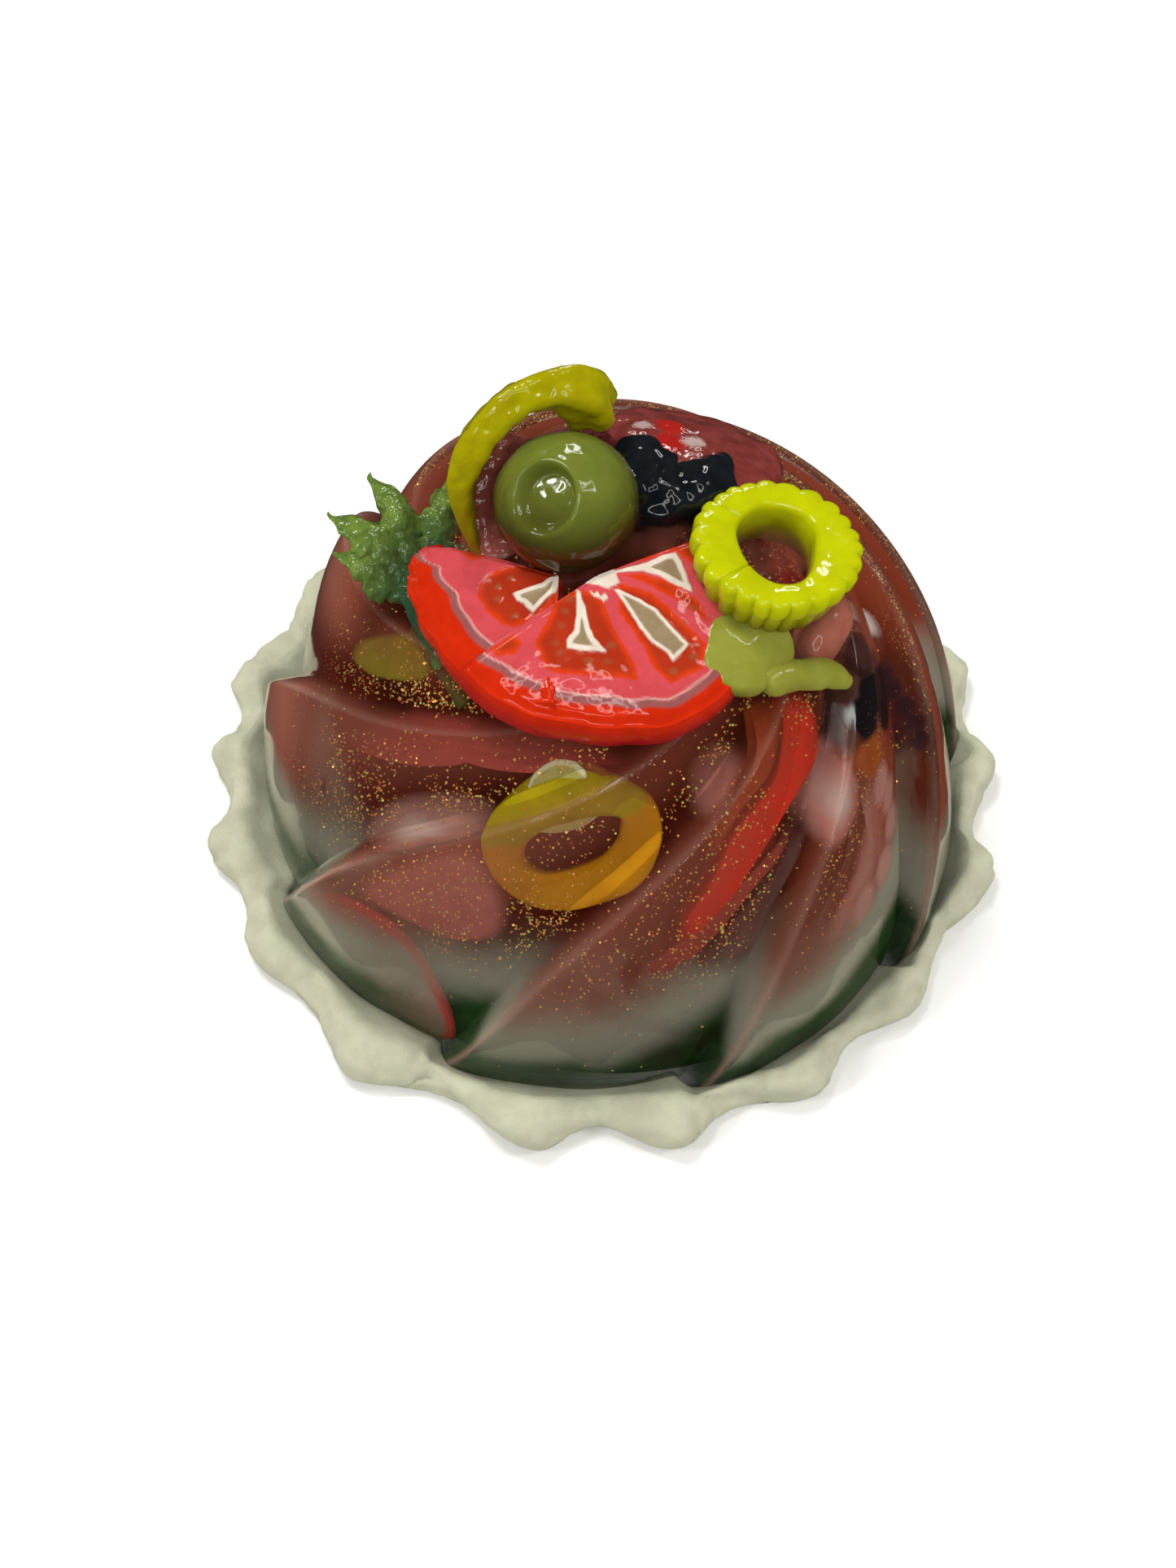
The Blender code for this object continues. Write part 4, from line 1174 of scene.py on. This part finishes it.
front_edge = round_of({216: 18.9, 229: 18.7, 243: 18.3, 262: 17.7, 281: 18.2, 300: 19.6,
                       320: 20.2, 344: 20.0, 358: 17.0, 372: 14.4, 385: 14.4})
front_mauve = round_of({216: 16.4, 229: 15.4, 247: 14.8, 275: 14.7, 291: 15.9, 304: 17.3,
                        330: 17.8, 385: 18.4})
points, faces, paint = slice_shape(216, 385, 250, front_edge, front_mauve, FRONT_PICTURE, 5.4)
tomato_front = make_piece("tomato_slice_front", (points, faces), tomato_finish, "tomato",
                          "tomato_front", ((-2.4, -8.8, 61.0), (16, 4, 0)), 45)
painted(tomato_front, paint)

# %% Left slice
LEFT_PICTURE = {
    "gel": [[(-9.9, 0.8), (-10.2, -0.8), (-9.2, -3.0), (-7.1, -5.5), (-5.6, -6.1), (-3.2, -5.3),
             (-0.5, -3.6), (0.5, 0.3), (-3.1, 2.3), (-6.8, 2.5), (-8.9, 2.0)],
            [(-13.9, 8.4), (-11.5, 4.9), (-9.3, 4.7), (-8.4, 5.0), (-9.6, 6.6), (-12.4, 8.6)]],
    "seeds": [(-7.7, -0.1), (-7.7, -1.7), (-5.6, -4.5), (-6.1, 0.9)],
    "window_reflections": [([(0.5, 0.8), (-1.9, -0.8), (-4.3, -1.2), (-5.7, -1.5), (-5.2, -2.6), (-4.3, -3.3),
                  (-3.2, -4.8), (-2.0, -3.6), (-0.4, -2.2), (0.4, 0.3)], 0.55)],
    "heart": []}
left_edge = round_of({150: 17.0, 154: 20.0, 158: 22.2, 168: 20.2, 182: 18.2, 200: 16.5, 220: 16.1})
left_mauve = round_of({150: 24.0, 154: 22.5, 158: 19.4, 163: 16.2, 181: 13.0, 202: 12.0, 223: 11.6})
points, faces, paint = slice_shape(151, 266, 150, left_edge, left_mauve, LEFT_PICTURE, 5.0)
tomato_left = make_piece("tomato_slice_left", (points, faces), tomato_finish, "tomato",
                         "tomato_left", ((-6.2, -8.0, 59.4), (4, -15, 0)), 45)
painted(tomato_left, paint)

# %% [markdown]
# ## The green olive
#
# The olive is a squashed ball with a round pit pressed into its shoulder. A ball cut by a
# Boolean would leave a knife edge. Here every point of a fine ball is moved by its angle from
# the pit's axis, which gives the soft lip, the steep wall and the uneven floor of the real one.

# %% Olive
OLIVE_RADIUS, OLIVE_SQUASH = 8.8, 0.9
PIT_DEPTH, PIT_LIP = 2.5, 0.10
OLIVE_AXIS = Vector((-0.33, -0.49, 0.80)).normalized()


def ball(segments, rows):
    rings = []
    for row in range(rows):
        tilt = math.pi * (row + 0.5) / rows
        turns = [TAU * i / segments for i in range(segments)]
        rings.append([(math.sin(tilt) * math.cos(a), math.sin(tilt) * math.sin(a), -math.cos(tilt))
                      for a in turns])
    return loft(rings)


def pit_depth(away, around):
    """How deep the pit is at an angle from its axis; a raised lip rings it."""
    rim = 0.53 + 0.03 * math.sin(2 * around + 0.7)
    wall = 1 - ease(rim - 0.22 + 0.07 * math.cos(around + 0.9), rim, away)
    lip = math.exp(-((away - rim - 0.045) / 0.05) ** 2)
    floor = (0.8 * math.cos(around - 0.6) * away + 0.5 * math.sin(2 * around) * away
             - 0.9 * away ** 2)
    return (PIT_DEPTH + floor) * wall - PIT_LIP * lip


def olive_shape():
    side = OLIVE_AXIS.orthogonal().normalized()
    up = OLIVE_AXIS.cross(side)
    points, faces = ball(160, 110)
    moved = []
    for p in points:
        v = Vector(p).normalized()
        away = v.angle(OLIVE_AXIS)
        around = math.atan2(v.dot(up), v.dot(side))
        bumpy = 0.12 * noise.noise(v * 2.5) + 0.05 * noise.noise(v * 7)
        q = v * (OLIVE_RADIUS + bumpy) - OLIVE_AXIS * pit_depth(away, around)
        moved.append((q.x, q.y, q.z * OLIVE_SQUASH))
    return moved, faces


def coated(name, colour, shade, patch, wave=0.2, wave_size=3.0, low=None, spots=(), **plain):
    """Clay under a clear wet coat, perhaps darkened towards its bottom with painted shade, or with
    soft spots.
    """
    settings = {"Specular IOR Level": 0.5}
    settings.update({k.replace("_", " "): v for k, v in plain.items()})
    material, tree, shader = new_material(name, settings)
    body = use_group(tree, "clay grain", {
        "Colour": colour, "Shade": shade, "Patch Size": patch, "Dull": 0.14,
        "Grain Size": 0.5, "Shine": 0.04})
    shown = body.outputs["Colour"]
    place = use_group(tree, "millimetres")
    # Painted shade: below the given height the colour turns to the darker one given, as though the
    # lower part lay in shadow.
    if low is not None:
        below, level, depth = low
        shown = blend_colours(tree, band(tree, place.outputs["Height"], level, level + depth),
                              below, shown)
    for inner, middle, near, far in spots:
        rough = maths(tree, "MULTIPLY", maths(tree, "SUBTRACT", body.outputs["Height"], 0.8), 2.2)
        ragged = maths(tree, "ADD", distance(tree, place.outputs["Point"], middle), rough)
        shown = blend_colours(tree, band(tree, ragged, near, far), inner, shown)
    gloss = use_group(tree, "pooled gloss", {"Wave Size": wave_size, "Wave Depth": wave})
    feed(tree, shader, Base_Color=shown, Roughness=body.outputs["Roughness"],
         Normal=gloss.outputs["Normal"])
    return material


# The olive's lower part is darkened with painted shade.
olive_green = coated("olive_green", rgb(0.125, 0.150, 0.020), rgb(0.095, 0.115, 0.014), 5.0, 0.22,
                     3.2, low=(rgb(0.028, 0.015, 0.003), -0.6, 8.0))
make_piece("olive_green_whole", olive_shape(), olive_green, "green_olive", "green_olive",
           ((-5.9, -0.2, 65.5), (0, 0, 0)))

# %% [markdown]
# ## Yellow pepper
#
# The ring is a slice of pickled pepper with a scalloped outer wall, and the arc beside it is a
# strip of the same clay bent over like a handle, with small cracks across its bend. Rings of a
# changing section make both.

# %% Pepper ring
RING_RADIUS, RING_WALL, RING_THICK, RING_SCALLOPS = 10.4, 5.0, 7.4, 24
RING_COLUMNS, RING_CRACKS, CRACK_DEPTH = 400, (2.35, 3.75), 0.35


def pepper_ring_shape():
    rings, half = [], RING_THICK / 2
    for i in range(RING_COLUMNS):
        a = TAU * i / RING_COLUMNS
        rib = abs(math.sin(RING_SCALLOPS * a / 2 + 0.8 * math.sin(3 * a)))
        scallop = (0.68 + 0.2 * math.sin(2 * a + 1)) * rib ** 0.6
        outer = RING_RADIUS - 0.6 + scallop + 0.25 * math.sin(2 * a + 0.6)
        inner = RING_RADIUS - RING_WALL - 0.62 * math.cos(2 * a + 0.5) + 0.3 * math.sin(3 * a)
        nick = sum(math.exp(-((a - spot + math.pi) % TAU - math.pi) ** 2 / 0.0006)
                   for spot in RING_CRACKS)
        top = half - CRACK_DEPTH * nick
        section = [(outer - 1.5, top + 0.05), (outer - 0.7, top), (outer - 0.25, top - 0.25),
                   (outer, top - 0.8), (outer - 0.1, half - 2.4), (outer - 0.5, 0.6),
                   (outer - 1.0, -1.4), (outer - 1.5, -half + 0.8), (outer - 2.0, -half),
                   (inner + 0.9, -half), (inner + 0.4, -half + 0.7), (inner + 0.1, -1.0),
                   (inner, 1.0), (inner, half - 0.9), (inner + 0.2, top - 0.3), (inner + 0.7, top)]
        rings.append([(r * math.cos(a), r * math.sin(a), z) for r, z in section])
    return loft(rings, closed=True)


# The ring's lower side is darkened with painted shade.
pepper_yellow = coated("pepper_yellow", rgb(0.42, 0.45, 0.0008), rgb(0.34, 0.35, 0.0008), 3.0, 0.24,
                       3.0, low=(rgb(0.17, 0.14, 0.0008), -3.0, 5.6))
make_piece("pepper_ring_slice", ruffle(pepper_ring_shape(), 0.2, 3.2, 3.0), pepper_yellow,
           "yellow_pepper", "pepper_ring", ((18.9, -5.0, 60.2), (-2, 11, 10)), 60)

# %% Pepper arc
ARC_PATH = through(((-16.4, -2.0, 56.5), (-18.0, 0.6, 61.0), (-18.4, 2.8, 66.0), (-16.2, 5.4, 70.6),
                    (-12.0, 8.2, 73.8), (-7.0, 10.0, 74.2), (-3.6, 11.0, 71.6), (-2.8, 11.6, 68.6)))
ARC_CRACKS, ARC_CRACK_WIDTH = (0.60, 0.69, 0.735, 0.80), 0.006


def arc_section(t, a):
    """Thin at its foot, then full, squarer and wider to its end, with cracks across its bend."""
    full = ease(0.0, 0.4, t)
    crack = sum(math.exp(-((t - spot) / ARC_CRACK_WIDTH) ** 2) for spot in ARC_CRACKS)
    crack = crack * max(-math.sin(a), 0)
    crumple = 1 + 0.03 * math.sin(11 * t + 2 * a) - 0.07 * crack
    square = 1 + (0.10 + 0.07 * ease(0.6, 0.9, t)) * math.cos(4 * a) * full
    flare = 1 + 0.42 * ease(0.6, 0.88, t)
    wide, high = 0.7 + 1.6 * full, 0.8 + 1.35 * full
    return wide * crumple * square * flare, high * crumple * square * flare


# The arc's lower part is darkened with painted shade.
arc_yellow = coated("arc_yellow", rgb(0.31, 0.28, 0.0008), rgb(0.24, 0.20, 0.0008), 3.2, 0.3, 1.8,
                    low=(rgb(0.15, 0.085, 0.002), 56.0, 12.0))
arc = ruffle(sweep(ARC_PATH, arc_section, 150, 30, (0.6, -0.8, 0.1)), 0.25, 2.0, 7.0)
make_piece("pepper_strip_arc", arc, arc_yellow, "yellow_pepper", "pepper_arc")

# %% [markdown]
# ## Black olive, ham and the dark slice behind
#
# The black olive is a lumpy slice laid on edge, and the ham is in two torn strips. They are
# sweeps too, with sections that swell and pinch. The wide dark slice at the back is a thin disc.

# %% Black olive
BLACK_PATH = through(((-0.6, 5.8, 60.8), (3.0, 5.4, 62.0), (6.8, 4.5, 61.2), (10.6, 5.7, 60.4),
                      (13.8, 6.2, 58.4)))


def black_section(t, a):
    lobes = 1 + 0.10 * math.sin(9 * t + 2 * a) + 0.06 * math.sin(17 * t - 3 * a)
    ends = math.sqrt(max(1 - (2 * t - 1) ** 8, 0.02))
    wide, high = 6.2 + 0.5 * math.sin(9 * t) - 1.8 * t, 4.2 + 0.5 * math.cos(7 * t)
    return wide * lobes * ends, high * lobes * ends


black_clay = coated("olive_black", rgb(0.004, 0.006, 0.008), rgb(0.013, 0.014, 0.016), 2.5, 0.55,
                    3.2)
black_olive = ruffle(sweep(BLACK_PATH, black_section, 90, 48), 0.55, 2.6, 11.0)
make_piece("olive_black_slice", black_olive, black_clay, "black_olive", "black_olive_slice")

# %% Ham
HAM_PATH = through(((-13.2, -1.8, 57.0), (-14.6, 2.6, 60.0), (-14.2, 6.4, 63.6),
                    (-12.4, 9.4, 67.2)))
SHRED_PATH = through(((-4.4, 13.0, 57.0), (-5.4, 11.8, 61.6), (-6.0, 10.0, 66.0)))


def ham_section(t, a):
    frayed = 1 + 0.08 * math.sin(21 * t + 5 * a) + 0.05 * math.sin(40 * t)
    return (3.2 + 0.4 * math.sin(5 * t)) * frayed, 0.9 + 0.12 * math.sin(9 * a + 6 * t)


def shred_section(t, a):
    frayed = 1 + 0.07 * math.sin(17 * t + 3 * a) + 0.05 * math.sin(9 * a)
    return (4.8 + 0.5 * math.sin(13 * t)) * frayed, 1.3 - 0.4 * t + 0.10 * math.sin(13 * a)


ham_pink = coated("ham_pink", rgb(0.24, 0.062, 0.048), rgb(0.13, 0.03, 0.018), 1.6, 0.3, 1.4)
ham_dark = coated("ham_dark", rgb(0.20, 0.045, 0.045), rgb(0.09, 0.016, 0.014), 1.2, 0.3, 1.2)
strip = ruffle(sweep(HAM_PATH, ham_section, 60, 36, (0.3, -0.8, 0.6)), 0.3, 2.0, 5.0)
shred = ruffle(sweep(SHRED_PATH, shred_section, 60, 48, (0.1, -0.9, 0.3)), 0.35, 1.6, 9.0)
make_piece("ham_strip_torn", strip, ham_pink, "ham", "ham_strip")
make_piece("ham_shred_torn", shred, ham_dark, "ham", "ham_shred")

# %% Dark rose slice
DISC_COLUMNS = 120


def disc_shape(wide, deep, thick, droop, waves):
    """A thin round slice with a rounded edge that droops towards its rim."""
    levels = [(k / 16, 0.5) for k in range(1, 15)] + [
        (0.93, 0.48), (0.97, 0.36), (0.995, 0.15), (1.0, -0.1), (0.985, -0.34), (0.95, -0.48),
        (0.9, -0.5), (0.5, -0.5)]
    rings = []
    for share, level in levels:
        ring = []
        for i in range(DISC_COLUMNS):
            a = TAU * i / DISC_COLUMNS
            swell = sum(high * math.sin(lobes * a + turn) for lobes, high, turn in waves)
            x, y = (wide + swell) * math.cos(a) * share, (deep + swell) * math.sin(a) * share
            ring.append((x, y, thick * level - droop * share * share))
        rings.append(ring)
    return loft(rings)


ROSE_RED, ROSE_PALE = rgb(0.36, 0.012, 0.008), rgb(0.42, 0.30, 0.27)
ROSE_SPOTS = ((ROSE_RED, (-2.5, 2.6, 1.4), 1.0, 2.6), (ROSE_RED, (-2.8, -1.4, 1.5), 1.2, 2.8),
              (ROSE_PALE, (-6.1, 2.4, 1.2), 0.7, 1.5), (ROSE_PALE, (0.1, -0.9, 1.5), 0.9, 1.9))
rose_clay = coated("rose_wet", rgb(0.20, 0.038, 0.032), rgb(0.11, 0.012, 0.009), 2.4, 0.85, 3.2,
                   spots=ROSE_SPOTS)
rose = ruffle(disc_shape(12.4, 10.7, 3.4, 2.0, ((3, 0.5, 1.0), (7, 0.3, 0.0))), 0.3, 4.0)
make_piece("rose_slice_back", rose, rose_clay, "rose_slice", "rose_slice",
           ((9.4, 12.6, 60.0), (-20, 12, 0)))

# %% [markdown]
# ## Herb sprig, glaze, pickle and radish
#
# The herb is six thick ragged leaves on a stem, dark in the middle and light at the tips. A
# leaf is a flat outline with teeth, given thickness and a wave. The pickle is a chunk and a
# finger of pale clay, half clear, and the radish is a smooth pink lump beside the ring. Clear
# resin was run between them all; a film that shows little but its highlights stands for it.

# %% Herb
LEAF_THICK, LEAF_WAVE = 2.6, 0.9


def leaf_shape(length, width, teeth):
    """A ragged leaf: a flat outline with teeth, given thickness and a wave."""
    steps, across, rings = 60, 14, []
    for i in range(1, steps):
        t = i / steps
        tooth = (0.80 + 0.42 * abs(math.sin(math.pi * teeth * t)) ** 0.8
                 + 0.06 * math.sin(TAU * teeth * 2.7 * t + 1))
        half = width / 2 * math.sin(math.pi * t ** 0.8) * tooth
        body = LEAF_THICK * math.sin(math.pi * min(t * 1.15, 1) ** 0.7) * 0.5 + 0.25
        ring = []
        for j in range(2 * across):
            a = TAU * j / (2 * across)
            y = half * math.cos(a)
            flat = math.copysign(abs(math.sin(a)) ** 0.8, math.sin(a))
            curl = (LEAF_WAVE * math.sin(0.55 * length * t)
                    + 0.5 * math.sin(1.7 * y + 9 * t) * abs(y) / max(half, 0.1))
            ring.append((length * t, y * (0.9 if y < 0 else 1), body * flat - curl - 0.06 * y * y))
        rings.append(ring)
    return loft(rings)


def placed(shape, spot, turn):
    """A shape moved into another piece's space."""
    points, faces = shape
    matrix = Euler([math.radians(a) for a in turn]).to_matrix()
    return [tuple(matrix @ Vector(p) + Vector(spot)) for p in points], faces


def gathered(shapes):
    """Several closed shapes as one piece."""
    points, faces = [], []
    for more, skins in shapes:
        shift = len(points)
        points += more
        faces += [tuple(i + shift for i in face) for face in skins]
    return points, faces


# For each leaf: where it starts, its turn, its length, its width and how many teeth.
LEAVES = (((-23.4, -3.0, 52.6), (10, -20, 146), 15.4, 6.6, 4.2),
          ((-23.6, -1.4, 53.6), (26, -18, 118), 15.0, 5.4, 3.6),
          ((-22.2, -0.4, 54.0), (20, -10, 84), 11.5, 5.2, 3.2),
          ((-24.0, -4.4, 52.0), (-8, -20, 160), 12.4, 5.0, 3.4),
          ((-21.2, -2.8, 53.4), (10, -4, 52), 7.5, 4.6, 2.4),
          ((-25.4, -2.4, 52.4), (30, -10, 132), 10.5, 4.4, 3.0))
STEM_PATH = through(((-20.0, -13.6, 50.6), (-22.8, -8.2, 52.0), (-25.6, -2.6, 52.8),
                     (-28.6, 2.0, 53.4)))


def stem_section(t, a):
    return (2.4 - 0.8 * t) * (1 + 0.1 * math.sin(3 * a + 9 * t)), 1.7 - 0.6 * t


leaves = [placed(leaf_shape(length, width, teeth), spot, turn)
          for spot, turn, length, width, teeth in LEAVES]
stem = sweep(STEM_PATH, stem_section, 60, 20)
herb_green = coated("herb_green", rgb(0.13, 0.20, 0.030), rgb(0.030, 0.070, 0.018), 1.5, 0.5, 1.3,
                    spots=((rgb(0.012, 0.042, 0.024), (-19.0, -6.0, 54.0), 5.0, 15.0),))
sprig = ruffle(gathered(leaves + [stem]), 0.35, 1.8, 2.0)
make_piece("herb_sprig_leaves", sprig, herb_green, "herb", "herb_sprig")

# %% Clear glaze
def clear_glaze():
    """A thin film of clear resin: nearly nothing but its highlights."""
    material, tree, shader = new_material("clear_glaze",
                                          {"Roughness": 0.04, "Specular IOR Level": 0.6})
    gloss = use_group(tree, "pooled gloss", {"Wave Size": 3.4, "Wave Depth": 0.55})
    tint = blend_colours(tree, gloss.outputs["Pools"], rgb(0.22, 0.05, 0.035),
                         rgb(0.34, 0.11, 0.08))
    cover = node(tree, "MapRange", inputs={0: gloss.outputs["Pools"], 3: 0.05, 4: 0.13}).outputs[0]
    feed(tree, shader, Base_Color=tint, Alpha=cover, Normal=gloss.outputs["Normal"])
    return material


glaze_finish = clear_glaze()
pool = ruffle(disc_shape(21.5, 19.0, 1.6, 2.6, ((3, 1.2, 0.6), (7, 0.5, 2.0))), 0.5, 5.0, 6.0)
make_piece("glaze_pool", pool, glaze_finish, "brown_jelly", None, ((1.6, -1.0, 60.4), (0, 0, 0)))
mound = ruffle(disc_shape(8.6, 5.6, 3.0, 1.4, ((2, 0.5, 0.0), (5, 0.3, 1.0))), 0.3, 4.0, 2.0)
make_piece("glaze_mound_right", mound, glaze_finish, "brown_jelly", None,
           ((28.0, -9.6, 51.2), (10, 38, 20)))

# %% Pickle and radish
FINGER_PATH = through(((17.4, -18.8, 54.6), (21.0, -17.2, 53.6), (25.0, -15.8, 52.0),
                       (28.8, -15.4, 49.6)))


def finger_section(t, a):
    bumps = 1 + 0.08 * math.sin(14 * t + 2 * a)
    ends = math.sqrt(max(1 - (2 * t - 1) ** 10, 0.03))
    return (2.1 - 0.9 * t ** 4) * bumps * ends, (2.0 - 0.8 * t ** 3) * bumps * ends


pickle_pale = coated("pickle_pale", rgb(0.24, 0.25, 0.036), rgb(0.19, 0.18, 0.018), 3.4, 0.16, 2.6)
chunk = ruffle(disc_shape(6.0, 5.5, 3.6, 0.8, ((2, 0.4, 0.0), (5, 0.22, 1.0))), 0.22, 2.6, 4.0)
make_piece("pickle_chunk_pale", chunk, pickle_pale, "pale_pickle", "pickle_chunk",
           ((15.6, -15.6, 56.6), (22, 20, 0)))
finger = ruffle(sweep(FINGER_PATH, finger_section, 60, 24), 0.25, 2.0, 6.0)
make_piece("pickle_finger_pale", finger, pickle_pale, "pale_pickle", "pickle_finger")
radish_pink = coated("radish_pink", rgb(0.34, 0.11, 0.075), rgb(0.24, 0.06, 0.036), 3.0, 0.2, 2.5)
points, faces = ball(48, 32)
radish = ruffle(([(3.2 * x, 5.4 * y, 3.6 * z) for x, y, z in points], faces), 0.3, 3.0, 1.0)
make_piece("radish_lump_pink", radish, radish_pink, "radish", "radish_lump",
           ((25.4, -9.6, 52.4), (12, 30, -20)))

# %% [markdown]
# ## Light and table
#
# The picture is lit by a white room, with ring lamps that leave small rings and hooks of light in
# the wet coats. Area lamps in circles would do, but bright rings drawn in the world cost nothing.
# Only gloss sees the rings, and it sees them in a dark room, so the wet coats stay clear. Soft
# lamps that gloss doesn't see light everything else.

# %% Light
scene = bpy.context.scene
scene.view_settings.view_transform = "Standard"
scene.cycles.use_denoising = True
scene.cycles.transparent_max_bounces = 24
ROOM, ROOM_IN_GLOSS = 0.55, 0.02
LAMP_AIM = Vector((0.0, 0.0, 0.03))
LENS_SIDE = (0.0, -math.cos(LOOK_DOWN), math.sin(LOOK_DOWN))
# Each ring lamp is a direction, the angle of its ring, the width of the ring and its power.
RING_LAMPS = ((LENS_SIDE, 14.0, 1.2, 12.0), ((-0.42, 0.20, 0.88), 7.0, 1.2, 34.0),
              ((0.55, 0.05, 0.83), 6.0, 1.1, 12.0), ((0.14, 0.87, 0.48), 7.0, 1.1, 18.0))
world = bpy.data.worlds.new("white_room")
world.use_nodes = True
sky = world.node_tree
toward = node(sky, "TexCoord").outputs["Generated"]
shine = ROOM_IN_GLOSS
for direction, wide, thick, power in RING_LAMPS:
    facing = node(sky, "VectorMath", {"operation": "DOT_PRODUCT"}, {
        0: toward, 1: tuple(Vector(direction).normalized())}).outputs["Value"]
    angle_away = maths(sky, "ARCCOSINE", facing)
    off_axis = maths(sky, "ABSOLUTE", maths(sky, "SUBTRACT", angle_away, math.radians(wide)))
    ring_mask = inverse(sky, band(sky, off_axis, math.radians(thick * 0.7), math.radians(thick)))
    shine = maths(sky, "ADD", maths(sky, "MULTIPLY", ring_mask, power), shine)
gloss_ray = node(sky, "LightPath").outputs["Is Glossy Ray"]
background = sky.nodes["Background"]
background.inputs["Color"].default_value = (1.0, 0.99, 0.97, 1.0)
strength = node(sky, "Mix", inputs={0: gloss_ray, 2: ROOM, 3: shine}).outputs[0]
sky.links.new(strength, background.inputs["Strength"])
world.cycles.sampling_method = "NONE"
scene.world = world


def lamp(name, spot, size, power):
    """A soft square lamp that gloss doesn't see."""
    data = bpy.data.lights.new(name, "AREA")
    data.shape = "SQUARE"
    data.size = size
    data.energy = power
    made = bpy.data.objects.new(name, data)
    made.location = spot
    made.rotation_euler = (LAMP_AIM - Vector(spot)).to_track_quat("-Z", "Y").to_euler()
    made.visible_glossy = False
    scene.collection.objects.link(made)


lamp("overhead", (-0.16, 0.16, 0.60), 0.16, 2.0)
lamp("left", (-0.45, -0.20, 0.40), 0.10, 0.9)
lamp("lens_side", (0.05, -0.33, 0.53), 0.20, 0.68)
lamp("right", (0.45, -0.06, 0.34), 0.12, 0.95)

TABLE_REACH = 3
corners = [(x * TABLE_REACH, y * TABLE_REACH, 0) for x, y in ((-1, -1), (1, -1), (1, 1), (-1, 1))]
table_mesh = bpy.data.meshes.new("table")
table_mesh.from_pydata(corners, [], [(0, 1, 2, 3)])
table = bpy.data.objects.new("table", table_mesh)
table_finish, table_tree, table_shader = new_material("table_white", {"Roughness": 0.7})
speck = node(table_tree, "TexNoise", inputs={"Scale": 60.0, "Detail": 2.0})
feed(table_tree, table_shader, Base_Color=blend_colours(
    table_tree, speck.outputs[0], rgb(0.86, 0.86, 0.85), rgb(0.88, 0.88, 0.87)))
table_mesh.materials.append(table_finish)
scene.collection.objects.link(table)
table.visible_glossy = False
print("four soft lamps, a white room and", len(RING_LAMPS), "ring lamps")
